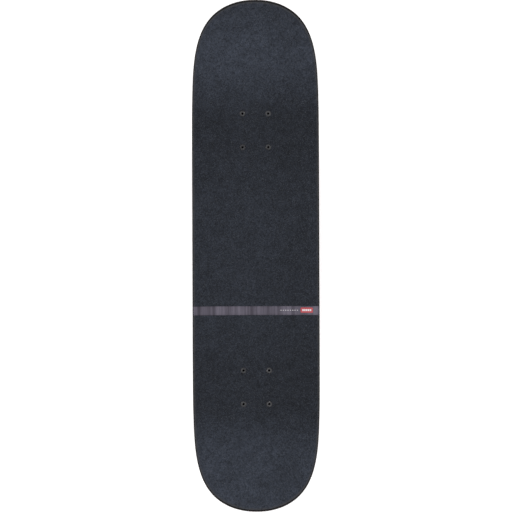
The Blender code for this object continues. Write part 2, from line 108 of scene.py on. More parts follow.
def roundedPlate(length, width, corner, levels, arc, middle=(0, 0)):
    # a flat plate with round corners, from (inset, height) levels
    shape = bmesh.new()
    rings = []
    for inset, height in levels:
        ring = []
        for quarter, (sx, sy) in enumerate(((1, 1), (-1, 1), (-1, -1), (1, -1))):
            for step in range(arc + 1):
                turn = pi / 2 * (quarter + step / arc)
                x = sx * (length / 2 - corner) + (corner - inset) * cos(turn)
                y = sy * (width / 2 - corner) + (corner - inset) * sin(turn)
                ring.append(shape.verts.new((middle[0] + x, middle[1] + y, height)))
        rings.append(ring)
    for ring, other in zip(rings, rings[1:]):
        for index in range(len(ring)):
            after = (index + 1) % len(ring)
            shape.faces.new((ring[index], ring[after], other[after], other[index]))
    shape.faces.new(reversed(rings[0]))
    shape.faces.new(rings[-1])
    return shape


def joinMeshes(name, items):
    # several shells in one piece, with their UV maps kept
    shape = bmesh.new()
    for item in items:
        shape.from_mesh(item.data)
    materials = items[0].data.materials[:]
    # the joined piece may have the name of one of these
    for item in items:
        dropPiece(item)
    whole = pieceFromShape(name, shape)
    for material in materials:
        whole.data.materials.append(material)
    return whole


def finishPiece(item, body, nodes=(), material=None):
    if material:
        item.data.materials.clear()
        item.data.materials.append(material)
    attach(item, body)
    if nodes:
        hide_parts(*nodes)
    return item


# Rounds the corners of a turned profile. A corner is (radius, height) or (radius, height, rounding).

def softProfile(corners, rounding, closed=True, steps=4):
    points = []
    count = len(corners)
    for index, corner in enumerate(corners):
        spot = Vector(corner[:2])
        size = corner[2] if len(corner) > 2 else rounding
        ends = not closed and index in (0, count - 1)
        before = Vector(corners[index - 1][:2]) - spot
        after = Vector(corners[(index + 1) % count][:2]) - spot
        if ends or size <= 0 or before.length < 1e-7 or after.length < 1e-7:
            points.append(tuple(spot))
            continue
        reach = min(size, before.length * 0.45, after.length * 0.45)
        start, end = spot + before.normalized() * reach, spot + after.normalized() * reach
        for step in range(steps + 1):
            t = step / steps
            points.append(tuple(start * (1 - t) ** 2 + spot * 2 * t * (1 - t) + end * t * t))
    return points


# A turned or hexagonal shape about Z. A level is (radius, height) or (radius, height, half width
# of a hexagon), and the shape is the smaller of the circle and the hexagon.

def turnedPiece(name, levels, segments=64, bored=True, place=Matrix(), smooth=30):
    points, starts, travel = [], [], [0.0]
    for index, level in enumerate(levels):
        radius, height = level[:2]
        flat = level[2] if len(level) > 2 else None
        if index:
            before = levels[index - 1]
            travel.append(travel[-1] + hypot(radius - before[0], height - before[1]))
        starts.append(len(points))
        if radius <= 0:
            points.append((0, 0, height))
            continue
        for step in range(segments):
            turn = 2 * pi * step / segments
            reach = radius
            if flat:
                reach = min(radius, flat / cos((turn + pi / 6) % (pi / 3) - pi / 6))
            points.append((reach * cos(turn), reach * sin(turn), height))
    faces, spots = [], []
    last = len(levels) - 1
    pairs = [(index, index + 1) for index in range(last)]
    if bored:
        pairs.append((last, 0))
    for above, below in pairs:
        for step in range(segments):
            face, spot = [], []
            for level, lap in ((above, step), (above, step + 1), (below, step + 1), (below, step)):
                corner = starts[level] + (lap % segments if levels[level][0] > 0 else 0)
                if corner not in face:
                    face.append(corner)
                    run = travel[level] if level or above < below else travel[-1] + 1 * mm
                    spot.append(((lap / segments, run), (levels[level][0], levels[level][1])))
            faces.append(face)
            spots.append(spot)
    if not bored:
        for level in (0, last):
            if levels[level][0] > 0:
                laps = range(segments)
                faces.append([starts[level] + lap for lap in laps])
                spots.append([((lap / segments, travel[level]), levels[level][:2]) for lap in laps])
    mesh = bpy.data.meshes.new(name)
    mesh.from_pydata(points, [], faces)
    lapMap = mesh.uv_layers.new(name="lap")
    turnedMap = mesh.uv_layers.new(name="turned")
    for polygon, spot in zip(mesh.polygons, spots):
        for loop, (lap, turned) in zip(polygon.loop_indices, spot):
            lapMap.data[loop].uv = lap
            turnedMap.data[loop].uv = turned
    piece = faceOutwards(newPiece(name, mesh))
    return shadeByAngle(placeMesh(piece, place), smooth)


# Small tools for node trees

def addNode(tree, kind, inputs=None, **settings):
    node = tree.nodes.new(kind)
    node.location = (len(tree.nodes) * 170, 0)
    for key, value in settings.items():
        setattr(node, key, value)
    for key, value in (inputs or {}).items():
        if isinstance(value, bpy.types.NodeSocket):
            tree.links.new(value, node.inputs[key])
        else:
            node.inputs[key].default_value = value
    return node


def calc(tree, operation, first, second=0.0):
    return addNode(tree, "ShaderNodeMath", {0: first, 1: second}, operation=operation).outputs[0]


def plus(tree, first, second):
    return calc(tree, "ADD", first, second)


def minus(tree, first, second):
    return calc(tree, "SUBTRACT", first, second)


def times(tree, first, second):
    return calc(tree, "MULTIPLY", first, second)


def remap(tree, value, low, high, start=0.0, end=1.0, kind="SMOOTHSTEP"):
    inputs = {"Value": value, "From Min": low, "From Max": high, "To Min": start, "To Max": end}
    return addNode(tree, "ShaderNodeMapRange", inputs, interpolation_type=kind).outputs[0]


def noise(tree, vector, scale, detail=3.0, roughness=0.5):
    inputs = {"Vector": vector, "Scale": scale, "Detail": detail, "Roughness": roughness}
    return addNode(tree, "ShaderNodeTexNoise", inputs).outputs[0]


def mixColour(tree, factor, first, second, blend="MIX"):
    node = addNode(tree, "ShaderNodeMix", data_type="RGBA", blend_type=blend)
    for socket, value in ((node.inputs[0], factor), (node.inputs[6], first), (node.inputs[7], second)):
        if isinstance(value, bpy.types.NodeSocket):
            tree.links.new(value, socket)
        elif isinstance(value, (int, float)):
            socket.default_value = value
        else:
            socket.default_value = (*value, 1.0)
    return node.outputs[2]


def stretched(tree, vector, scale):
    return addNode(tree, "ShaderNodeMapping", {"Vector": vector, "Scale": scale}).outputs[0]


def uvSpot(tree, name):
    return addNode(tree, "ShaderNodeUVMap", uv_map=name).outputs[0]


def uvParts(tree, name):
    parts = addNode(tree, "ShaderNodeSeparateXYZ", {"Vector": uvSpot(tree, name)})
    return parts.outputs[0], parts.outputs[1]


def newGroup(name, kind, inputs, outputs):
    group = bpy.data.node_groups.new(name, kind)
    for label, form, value in inputs:
        socket = group.interface.new_socket(name=label, in_out="INPUT", socket_type="NodeSocket" + form)
        if value is not None:
            socket.default_value = value
    for label, form in outputs:
        group.interface.new_socket(name=label, in_out="OUTPUT", socket_type="NodeSocket" + form)
    entry = group.nodes.new("NodeGroupInput")
    return group, entry.outputs, group.nodes.new("NodeGroupOutput")


def useGroup(tree, group, inputs=None):
    return addNode(tree, "ShaderNodeGroup", inputs, node_tree=group).outputs


def closeTree(tree, result, geometry, material):
    whole = addNode(tree, "GeometryNodeRealizeInstances", {0: geometry}).outputs[0]
    inputs = {"Geometry": whole, "Material": material}
    painted = addNode(tree, "GeometryNodeSetMaterial", inputs).outputs[0]
    tree.links.new(painted, result.inputs[0])
    return tree


def runTree(item, tree, values):
    # inputs are set by their socket's identifier, before the object is evaluated
    step = item.modifiers.new(tree.name, "NODES")
    step.node_group = tree
    for socket in tree.interface.items_tree:
        if socket.item_type == "SOCKET" and socket.in_out == "INPUT" and socket.name in values:
            step[socket.identifier] = values[socket.name]
    return bakeModifiers(item)


# Shader groups that several materials share

def makeGritGroup():
    # crushed grit: sharp bumps of uneven height, and a few facets that catch the light
    inputs = [("Vector", "Vector", None), ("Size", "Float", 0.45 * mm)]
    outputs = [("Height", "Float"), ("Glint", "Float"), ("Tone", "Float")]
    group, given, result = newGroup("grit", "ShaderNodeTree", inputs, outputs)
    scale = calc(group, "DIVIDE", 1.0, given["Size"])
    cells = addNode(group, "ShaderNodeTexVoronoi", {"Vector": given["Vector"], "Scale": scale})
    broad = noise(group, given["Vector"], times(group, scale, 0.3), 2.0)
    peak = minus(group, 1.0, cells.outputs["Distance"])
    shade = addNode(group, "ShaderNodeSeparateColor", {"Color": cells.outputs["Color"]})
    uneven = remap(group, shade.outputs[0], 0, 1, 0.4, 1, "LINEAR")
    group.links.new(times(group, peak, uneven), result.inputs["Height"])
    group.links.new(remap(group, shade.outputs[1], 0.90, 0.97), result.inputs["Glint"])
    tone = plus(group, times(group, shade.outputs[2], 0.6), times(group, broad, 0.4))
    group.links.new(tone, result.inputs["Tone"])
    return group


def makeWoodGroup():
    # rotary-cut maple veneer: long streaks, broad figure and short dark flecks
    inputs = [("Vector", "Vector", None), ("Streaks", "Float", 260.0), ("Bands", "Float", 18.0)]
    outputs = [("Streak", "Float"), ("Band", "Float"), ("Fleck", "Float")]
    group, given, result = newGroup("veneer", "ShaderNodeTree", inputs, outputs)
    along = stretched(group, given["Vector"], (0.03, 1.0, 1.0))
    wide = stretched(group, given["Vector"], (0.16, 1.0, 1.0))
    short = stretched(group, given["Vector"], (0.12, 1.0, 1.0))
    warp = noise(group, along, 30.0, 2.0)
    fine = noise(group, along, given["Streaks"], 5.0, 0.65)
    broad = noise(group, along, times(group, given["Streaks"], 0.24), 2.0)
    streak = plus(group, times(group, fine, 0.5), times(group, broad, 0.5))
    band = noise(group, wide, given["Bands"], 2.0)
    rings = calc(group, "FRACT", plus(group, times(group, band, 7.0), warp))
    fleck = noise(group, short, 1400.0, 1.0)
    group.links.new(streak, result.inputs["Streak"])
    group.links.new(calc(group, "PINGPONG", rings, 0.5), result.inputs["Band"])
    group.links.new(remap(group, fleck, 0.62, 0.72), result.inputs["Fleck"])
    return group


def makeCastGroup():
    # the pebbly skin of tumbled castings, with a few soft dents
    inputs = [("Vector", "Vector", None), ("Scale", "Float", 900.0)]
    outputs = [("Height", "Float"), ("Cloud", "Float")]
    group, given, result = newGroup("castSkin", "ShaderNodeTree", inputs, outputs)
    pebble = noise(group, given["Vector"], given["Scale"], 3.0, 0.6)
    dent = noise(group, given["Vector"], times(group, given["Scale"], 0.12), 2.0)
    cloud = noise(group, given["Vector"], times(group, given["Scale"], 0.04), 4.0)
    group.links.new(plus(group, pebble, times(group, dent, 0.8)), result.inputs["Height"])
    group.links.new(cloud, result.inputs["Cloud"])
    return group


def makeWearGroup():
    # a mask along raised edges, broken up by noise
    inputs = [("Vector", "Vector", None), ("Amount", "Float", 0.5), ("Scale", "Float", 400.0)]
    group, given, result = newGroup("edgeWear", "ShaderNodeTree", inputs, [("Mask", "Float")])
    sharp = addNode(group, "ShaderNodeNewGeometry").outputs["Pointiness"]
    edge = remap(group, sharp, 0.51, 0.58)
    patch = remap(group, noise(group, given["Vector"], given["Scale"], 4.0), 0.35, 0.65)
    mask = times(group, times(group, edge, patch), given["Amount"])
    group.links.new(mask, result.inputs["Mask"])
    return group


def makeScratchGroup():
    # fine crossing scratches, from two stretched noises
    inputs = [("Vector", "Vector", None), ("Scale", "Float", 300.0)]
    group, given, result = newGroup("scratches", "ShaderNodeTree", inputs, [("Mask", "Float")])
    masks = []
    for turn in (0.6, -0.9):
        inputs = {"Vector": given["Vector"], "Rotation": (0, 0, turn), "Scale": (0.03, 1.0, 1.0)}
        vector = addNode(group, "ShaderNodeMapping", inputs).outputs[0]
        masks.append(remap(group, noise(group, vector, given["Scale"], 2.0), 0.66, 0.74))
    group.links.new(calc(group, "MAXIMUM", *masks), result.inputs["Mask"])
    return group


def makeTurningGroup():
    # lathe lines along a turned profile
    inputs = [("Pitch", "Float", 0.18 * mm)]
    group, given, result = newGroup("turningLines", "ShaderNodeTree", inputs, [("Height", "Float")])
    run = uvParts(group, "lap")[1]
    lines = calc(group, "SINE", calc(group, "DIVIDE", times(group, run, 2 * pi), given["Pitch"]))
    group.links.new(lines, result.inputs["Height"])
    return group


gritGroup = makeGritGroup()
woodGroup = makeWoodGroup()
castGroup = makeCastGroup()
wearGroup = makeWearGroup()
scratchGroup = makeScratchGroup()
turningGroup = makeTurningGroup()


def newMaterial(name):
    material = bpy.data.materials.new(name)
    material.use_nodes = True
    return material, material.node_tree, material.node_tree.nodes["Principled BSDF"]


def objectSpot(tree):
    return addNode(tree, "ShaderNodeTexCoord").outputs["Object"]


def feed(tree, shader, **sockets):
    names = {"colour": "Base Color", "roughness": "Roughness", "metallic": "Metallic", "normal": "Normal"}
    for key, value in sockets.items():
        socket = shader.inputs[names[key]]
        if isinstance(value, bpy.types.NodeSocket):
            tree.links.new(value, socket)
        else:
            socket.default_value = value


def bump(tree, height, distance, strength=1.0):
    inputs = {"Height": height, "Distance": distance, "Strength": strength}
    return addNode(tree, "ShaderNodeBump", inputs).outputs[0]


# Materials of the deck. A ramp is (from, to, value at from, value at to), in metres on the board.

gripLook = {
    "grit": (0.0178, 0.0210, 0.0290),
    # a lighter grey for a band along the tape's rim
    "rimGrey": (0.050, 0.049, 0.051),
    "backing": (0.020, 0.020, 0.022),
    "glint": (0.16, 0.17, 0.19),
    "glintShare": 0.30,
    "grain": 0.42 * mm,
    "clump": 2.2 * mm,
    "grainShare": 0.85,
    "clumpShare": 0.65,
    "contrast": (0.35, 1.15, 0.40, 1.60),
    "cloud": (0.3, 0.7, 0.86, 1.14),
    "drift": (0.3, 0.7, 0.93, 1.07),
    # the tone along the board is painted light: painted sheen on the ramps and near the nose, and painted
    # shade on the right side
    "paintedLightMiddle": -0.008,
    "overTrucks": (0.08, 0.19, 1.0, 0.81),
    "onRamps": (0.225, 0.315, 0.0, 0.76),
    "noseSheenRise": (0.27, 0.335, 0.0, 0.17),
    "noseSheenFall": (0.33, 0.40, 0.0, 0.58),
    "rightSideShade": (-0.06, 0.005, 0.87, 1.0),
    "rimBand": (4.6 * mm, 2.8 * mm, 0.0, 0.75),
    "bumpHeight": 0.16 * mm,
    "shine": 0.20,
}


def gripTone(tree, spot, grit, clump):
    # painted light along the board: a painted sheen on the ramps that rises near the nose and fades towards
    # its tip, darker over the trucks, and painted shade on the right side
    look = gripLook
    along, across = uvParts(tree, "sheet")
    reach = calc(tree, "ABSOLUTE", minus(tree, along, look["paintedLightMiddle"]))
    wearAndPaintedLight = plus(tree, remap(tree, reach, *look["overTrucks"]), remap(tree, reach, *look["onRamps"]))
    noseSheen = minus(tree, remap(tree, along, *look["noseSheenRise"]), remap(tree, along, *look["noseSheenFall"]))
    wearAndPaintedLight = times(tree, plus(tree, wearAndPaintedLight, noseSheen), remap(tree, across, *look["rightSideShade"]))
    cloud = remap(tree, noise(tree, spot, 60.0, 4.0, 0.6), *look["cloud"])
    drift = remap(tree, noise(tree, spot, 22.0, 2.0), *look["drift"])
    grain = times(tree, grit["Tone"], look["grainShare"])
    tone = plus(tree, grain, times(tree, clump["Tone"], look["clumpShare"]))
    lively = remap(tree, tone, *look["contrast"], "LINEAR")
    return times(tree, lively, times(tree, wearAndPaintedLight, times(tree, cloud, drift)))


def makeGripMaterial():
    look = gripLook
    material, tree, shader = newMaterial("blackGrip")
    spot = uvSpot(tree, "sheet")
    rim, depth = uvParts(tree, "rim")
    grit = useGroup(tree, gritGroup, {"Vector": spot, "Size": look["grain"]})
    clump = useGroup(tree, gritGroup, {"Vector": spot, "Size": look["clump"]})
    shade = gripTone(tree, spot, grit, clump)
    grey = addNode(tree, "ShaderNodeCombineColor", {0: shade, 1: shade, 2: shade}).outputs[0]
    body = mixColour(tree, 1.0, look["grit"], grey, "MULTIPLY")
    lit = mixColour(tree, times(tree, grit["Glint"], look["glintShare"]), body, look["glint"])
    broken = remap(tree, noise(tree, spot, 160.0, 3.0), 0.3, 0.7, 0.25, 1.0)
    # a lighter grey band along the tape's rim, broken up by noise
    edge = times(tree, remap(tree, rim, *look["rimBand"]), broken)
    rimGrey = mixColour(tree, edge, lit, look["rimGrey"])
    under = remap(tree, depth, -0.6 * mm, -0.5 * mm)
    feed(tree, shader, colour=mixColour(tree, under, rimGrey, look["backing"]))
    feed(tree, shader, roughness=remap(tree, grit["Glint"], 0, 1, 0.88, 0.35, "LINEAR"))
    height = plus(tree, grit["Height"], times(tree, clump["Height"], 1.5))
    feed(tree, shader, normal=bump(tree, height, look["bumpHeight"], 0.8))
    shader.inputs["Specular IOR Level"].default_value = look["shine"]
    return material


deckLook = {
    "stain": (0.041, 0.036, 0.048),
    "stainLight": (0.175, 0.159, 0.202),
    "fleck": (0.030, 0.026, 0.034),
    "underside": (0.060, 0.012, 0.016),
    "undersideLight": (0.125, 0.026, 0.030),
    "undersideFleck": (0.020, 0.006, 0.007),
    "edge": (0.007, 0.006, 0.006),
    "edgeWarm": (0.040, 0.026, 0.019),
    "seam": (0.006, 0.005, 0.005),
    # the rim colour is painted shade on the top's outer edge and on the rounded edge
    "rim": (0.0045, 0.0038, 0.0038),
    "rimShadeWidth": 1.5 * mm,
    "thickness": 11.0 * mm,
    "plies": 7,
    "bumpHeight": 0.06 * mm,
    "coat": 0.22,
    "coatRoughness": 0.22,
    "shine": 0.10,
}


def makeDeckMaterial():
    look = deckLook
    material, tree, shader = newMaterial("stainedMaple")
    where, spot = objectSpot(tree), uvSpot(tree, "sheet")
    rim, depth = uvParts(tree, "rim")
    wood = useGroup(tree, woodGroup, {"Vector": spot})
    streak = remap(tree, wood["Streak"], 0.36, 0.64, kind="LINEAR")
    figure = plus(tree, times(tree, streak, 0.8), times(tree, wood["Band"], 0.35))
    top = mixColour(tree, figure, look["stain"], look["stainLight"])
    top = mixColour(tree, times(tree, wood["Fleck"], 0.35), top, look["fleck"])
    below = mixColour(tree, figure, look["underside"], look["undersideLight"])
    below = mixColour(tree, times(tree, wood["Fleck"], 0.5), below, look["undersideFleck"])
    # the plies show on the edge, every third one warmer
    ply = times(tree, depth, look["plies"] / look["thickness"])
    seam = remap(tree, calc(tree, "PINGPONG", calc(tree, "FRACT", ply), 0.5), 0.06, 0.02)
    third = calc(tree, "MODULO", calc(tree, "FLOOR", ply), 3.0)
    fibre = noise(tree, stretched(tree, where, (0.05, 0.05, 1.0)), 2400.0, 2.0)
    chosen = remap(tree, third, 0.5, 1.5, kind="LINEAR")
    warm = times(tree, chosen, remap(tree, fibre, 0.3, 0.7, 0.3, 1.0))
    side = mixColour(tree, times(tree, warm, 0.6), look["edge"], look["edgeWarm"])
    side = mixColour(tree, seam, side, look["seam"])
    # painted shade round the rim, on the top's outer edge and on the rounded edge, and masks for the two
    # flat sides
    ring = remap(tree, rim, look["rimShadeWidth"] * 1.15, look["rimShadeWidth"] * 0.85)
    rounded = remap(tree, depth, 3.0 * mm, 1.6 * mm)
    lower = remap(tree, depth, look["thickness"] - 0.6 * mm, look["thickness"] - 0.2 * mm)
    upper = remap(tree, depth, 0.6 * mm, 0.2 * mm)
    top = mixColour(tree, ring, top, look["rim"])
    side = mixColour(tree, rounded, side, look["rim"])
    feed(tree, shader, colour=mixColour(tree, upper, mixColour(tree, lower, side, below), top))
    flat = minus(tree, 1.0, calc(tree, "MAXIMUM", ring, rounded))
    flat = calc(tree, "MAXIMUM", times(tree, flat, upper), lower)
    scratch = useGroup(tree, scratchGroup, {"Vector": where, "Scale": 240.0})
    matt = plus(tree, remap(tree, wood["Streak"], 0.3, 0.7, 0.36, 0.52), times(tree, scratch["Mask"], 0.15))
    feed(tree, shader, roughness=plus(tree, matt, remap(tree, flat, 0.0, 1.0, 0.25, 0.0)))
    tree.links.new(times(tree, flat, look["coat"]), shader.inputs["Coat Weight"])
    height = plus(tree, wood["Streak"], times(tree, seam, -1.5))
    feed(tree, shader, normal=bump(tree, height, look["bumpHeight"], 0.6))
    shader.inputs["Coat Roughness"].default_value = look["coatRoughness"]
    shader.inputs["Specular IOR Level"].default_value = look["shine"]
    return material


printLook = {
    "badge": (0.44, 0.060, 0.072),
    "badgeWorn": (0.27, 0.05, 0.06),
    "ink": (0.76, 0.73, 0.76),
    "inkWorn": (0.38, 0.36, 0.40),
}


def makePrintMaterial(name, base, wearAndPaintedLight):
    material, tree, shader = newMaterial(name)
    fine = noise(tree, stretched(tree, objectSpot(tree), (0.1, 1.0, 1.0)), 1500.0, 3.0)
    patch = remap(tree, fine, 0.55, 0.75, 0.0, 0.45)
    feed(tree, shader, colour=mixColour(tree, patch, base, wearAndPaintedLight))
    feed(tree, shader, roughness=remap(tree, fine, 0.3, 0.7, 0.35, 0.6))
    feed(tree, shader, normal=bump(tree, fine, 0.02 * mm, 0.5))
    return material


# Materials of the trucks and wheels

metalLook = {
    "cast": (0.56, 0.56, 0.57),
    "castDark": (0.36, 0.36, 0.375),
    "castWorn": (0.72, 0.72, 0.73),
    "zinc": (0.62, 0.62, 0.60),
    "zincTint": (0.50, 0.53, 0.60),
    "black": (0.030, 0.031, 0.036),
    "blackTint": (0.045, 0.046, 0.052),
    "blackWorn": (0.34, 0.34, 0.35),
    "ground": (0.55, 0.56, 0.58),
    "groundTint": (0.47, 0.48, 0.50),
    "castBump": 0.12 * mm,
    "steelBump": 0.03 * mm,
    "turningPitch": 0.22 * mm,
}


def makeCastMaterial():
    material, tree, shader = newMaterial("castAluminium")
    where = objectSpot(tree)
    cast = useGroup(tree, castGroup, {"Vector": where, "Scale": 1000.0})
    wear = useGroup(tree, wearGroup, {"Vector": where, "Amount": 0.8})
    scratch = useGroup(tree, scratchGroup, {"Vector": where, "Scale": 420.0})
    cloud = remap(tree, cast["Cloud"], 0.35, 0.65)
    body = mixColour(tree, cloud, metalLook["castDark"], metalLook["cast"])
    bright = mixColour(tree, wear["Mask"], body, metalLook["castWorn"])
    feed(tree, shader, colour=bright, metallic=1.0)
    matt = remap(tree, cast["Cloud"], 0.3, 0.7, 0.34, 0.50)
    matt = minus(tree, matt, times(tree, wear["Mask"], 0.12))
    feed(tree, shader, roughness=plus(tree, matt, times(tree, scratch["Mask"], 0.08)))
    feed(tree, shader, normal=bump(tree, cast["Height"], metalLook["castBump"], 0.55))
    return material


def makeSteelMaterial(name, base, tint, low, high, wearAndPaintedLight=0.0, turned=0.02):
    material, tree, shader = newMaterial(name)
    where = objectSpot(tree)
    cast = useGroup(tree, castGroup, {"Vector": where, "Scale": 2200.0})
    lines = useGroup(tree, turningGroup, {"Pitch": metalLook["turningPitch"]})
    wear = useGroup(tree, wearGroup, {"Vector": where, "Amount": wearAndPaintedLight, "Scale": 700.0})
    body = mixColour(tree, remap(tree, cast["Cloud"], 0.35, 0.65), metalLook[base], metalLook[tint])
    body = mixColour(tree, wear["Mask"], body, metalLook["blackWorn"])
    feed(tree, shader, colour=body, metallic=1.0)
    feed(tree, shader, roughness=remap(tree, cast["Cloud"], 0.3, 0.7, low, high))
    height = plus(tree, cast["Height"], times(tree, lines["Height"], turned))
    feed(tree, shader, normal=bump(tree, height, metalLook["steelBump"], 0.5))
    return material


boltLook = {
    "head": (0.042, 0.043, 0.047),
    "headWorn": (0.070, 0.071, 0.075),
    "rim": (0.016, 0.016, 0.018),
    # the socket colour is painted shade in the hex socket
    "socket": (0.002, 0.002, 0.002),
    "socketRadius": 2.02 * mm,
    "ringRadius": 3.8 * mm,
    "headDepth": 5.0 * mm,
}


def makeBoltMaterial():
    # black oxide, rubbed grey on the head, with a darker band round the head's edge and painted shade in the
    # socket
    look = boltLook
    material, tree, shader = newMaterial("boltOxide")
    where = objectSpot(tree)
    cast = useGroup(tree, castGroup, {"Vector": where, "Scale": 2600.0})
    wear = useGroup(tree, wearGroup, {"Vector": where, "Amount": 0.8, "Scale": 900.0})
    radius, height = uvParts(tree, "turned")
    top = remap(tree, height, -look["headDepth"], 1.0 * mm - look["headDepth"])
    inside = remap(tree, radius, look["socketRadius"], look["socketRadius"] - 0.06 * mm)
    offThread = remap(tree, radius, 0.05 * mm, 0.10 * mm)
    socketShade = times(tree, times(tree, inside, offThread), top)
    body = mixColour(tree, remap(tree, cast["Cloud"], 0.35, 0.65), look["head"], look["headWorn"])
    outer = remap(tree, radius, look["ringRadius"], look["ringRadius"] + 0.5 * mm)
    body = mixColour(tree, outer, body, look["rim"])
    body = mixColour(tree, wear["Mask"], body, metalLook["blackWorn"])
    feed(tree, shader, colour=mixColour(tree, socketShade, body, look["socket"]), metallic=1.0)
    feed(tree, shader, roughness=remap(tree, cast["Cloud"], 0.3, 0.7, 0.36, 0.52))
    feed(tree, shader, normal=bump(tree, cast["Height"], metalLook["steelBump"], 0.5))
    return material


urethaneLook = {
    "wheel": (0.80, 0.77, 0.69),
    "wheelWorn": (0.72, 0.68, 0.58),
    "tread": (0.62, 0.59, 0.53),
    "treadStart": 24.8 * mm,
    "bushing": (0.030, 0.030, 0.033),
    "bushingWorn": (0.060, 0.059, 0.060),
    "cup": (0.020, 0.020, 0.022),
    "cupWorn": (0.035, 0.035, 0.038),
    "nylon": (0.78, 0.78, 0.74),
    "nylonWorn": (0.62, 0.62, 0.58),
    "shield": (0.016, 0.016, 0.018),
    "shieldWorn": (0.030, 0.030, 0.033),
    "bumpHeight": 0.03 * mm,
}


def makeUrethane(name, look, roughness, inside=0.0, tread=False):
    material, tree, shader = newMaterial(name)
    where = objectSpot(tree)
    cloud = noise(tree, where, 60.0, 4.0, 0.6)
    height = noise(tree, where, 2600.0, 3.0)
    wearAndPaintedLight = remap(tree, cloud, 0.35, 0.7, 0.0, 0.35)
    body = mixColour(tree, wearAndPaintedLight, urethaneLook[look], urethaneLook[look + "Worn"])
    matt = remap(tree, cloud, 0.3, 0.7, roughness, roughness + 0.12)
    if tread:
        # the rolling face is rubbed round and round
        start = urethaneLook["treadStart"]
        rolled = remap(tree, uvParts(tree, "turned")[0], start, start + 1.0 * mm)
        laid = noise(tree, stretched(tree, uvSpot(tree, "lap"), (14.0, 3000.0, 1.0)), 1.0, 4.0)
        mask = times(tree, rolled, remap(tree, laid, 0.35, 0.65, 0.35, 1.0))
        body = mixColour(tree, mask, body, urethaneLook["tread"])
        matt = plus(tree, matt, times(tree, mask, 0.18))
        height = plus(tree, height, times(tree, times(tree, laid, rolled), 1.5))
    feed(tree, shader, colour=body, roughness=matt)
    feed(tree, shader, normal=bump(tree, height, urethaneLook["bumpHeight"], 0.5))
    shader.inputs["Subsurface Weight"].default_value = inside
    shader.inputs["Subsurface Radius"].default_value = (4 * mm, 3 * mm, 2 * mm)
    return material


gripMaterial = makeGripMaterial()
deckMaterial = makeDeckMaterial()
badgeMaterial = makePrintMaterial("redBadge", printLook["badge"], printLook["badgeWorn"])
inkMaterial = makePrintMaterial("paleInk", printLook["ink"], printLook["inkWorn"])
castMaterial = makeCastMaterial()
zincMaterial = makeSteelMaterial("zincPlate", "zinc", "zincTint", 0.24, 0.36)
blackMaterial = makeSteelMaterial("blackOxide", "black", "blackTint", 0.34, 0.48, wearAndPaintedLight=0.6)
groundMaterial = makeSteelMaterial("groundSteel", "ground", "groundTint", 0.16, 0.26, turned=0.3)
boltMaterial = makeBoltMaterial()
wheelMaterial = makeUrethane("wheelUrethane", "wheel", 0.34, 0.12, tread=True)
bushingMaterial = makeUrethane("bushingUrethane", "bushing", 0.34)
cupMaterial = makeUrethane("cupUrethane", "cup", 0.42)
nylonMaterial = makeUrethane("nylonCollar", "nylon", 0.40, 0.10)
shieldMaterial = makeUrethane("rubberShield", "shield", 0.45)
print("materials made")


# The deck's shape: flat sheets are cut to the outline, and then pressed to the concave and kicks

deck = {
    "halfWidth": 101.7 * mm,
    "thickness": 11.0 * mm,
    "top": 90.0 * mm,
    "edgeRadius": 2.4 * mm,
    "outlineStart": 45.0 * mm,
    "outlinePower": 8.0,
    "nose": {"tip": 399.94 * mm, "round": 2.08, "bend": 243.5 * mm, "angle": radians(21)},
    "tail": {"tip": 400.14 * mm, "round": 2.10, "bend": 252.5 * mm, "angle": radians(20)},
    "bendRadius": 110.0 * mm,
    "concaveDepth": 9.0 * mm,
    "concaveStart": 32.0 * mm,
    "concavePower": 1.8,
    "concaveFade": 0.4,
    "rows": 74,
    "rowCrowding": 1.8,
    "lanes": 26,
    "bores": {"Mouth Radius": 4.9 * mm, "Bore Radius": 2.75 * mm, "Cone Depth": 2.5 * mm, "Reach": 60 * mm},
}

gripTape = {
    "gap": 0.3 * mm,
    "thickness": 0.7 * mm,
    "inset": 1.4 * mm,
    "stripMiddle": -87.5 * mm,
    "stripWidth": 14.5 * mm,
    "bores": {"Mouth Radius": 5.0 * mm, "Bore Radius": 5.0 * mm, "Cone Depth": 3.0 * mm, "Reach": 20 * mm},
}


def endAt(x):
    return deck["nose"] if x >= 0 else deck["tail"]


def halfWidth(x):
    end = endAt(x)
    along = max(abs(x) - deck["outlineStart"], 0.0) / (end["tip"] - deck["outlineStart"])
    return deck["halfWidth"] * max(1 - along ** deck["outlinePower"], 0.0) ** (1 / end["round"])


def outlineRow(x, inset):
    # a row's x and half width, with the outline moved inwards
    end = endAt(x)
    if abs(x) >= end["tip"]:
        return (abs(x) - inset) * (1 if x > 0 else -1), 0.0
    reach = 0.02 * mm
    slope = (halfWidth(x + reach) - halfWidth(x - reach)) / (2 * reach)
    tilt = hypot(1, slope)
    return x + inset * slope / tilt, halfWidth(x) - inset / tilt


def deckRows():
    # rows crowd towards the tips, where the outline turns
    rows = []
    for sign, end in ((1, deck["nose"]), (-1, deck["tail"])):
        for step in range(deck["rows"] + 1):
            share = 1 - (1 - step / deck["rows"]) ** deck["rowCrowding"]
            rows.append(sign * (end["tip"] * share))
    return sorted(set(rows), reverse=True)


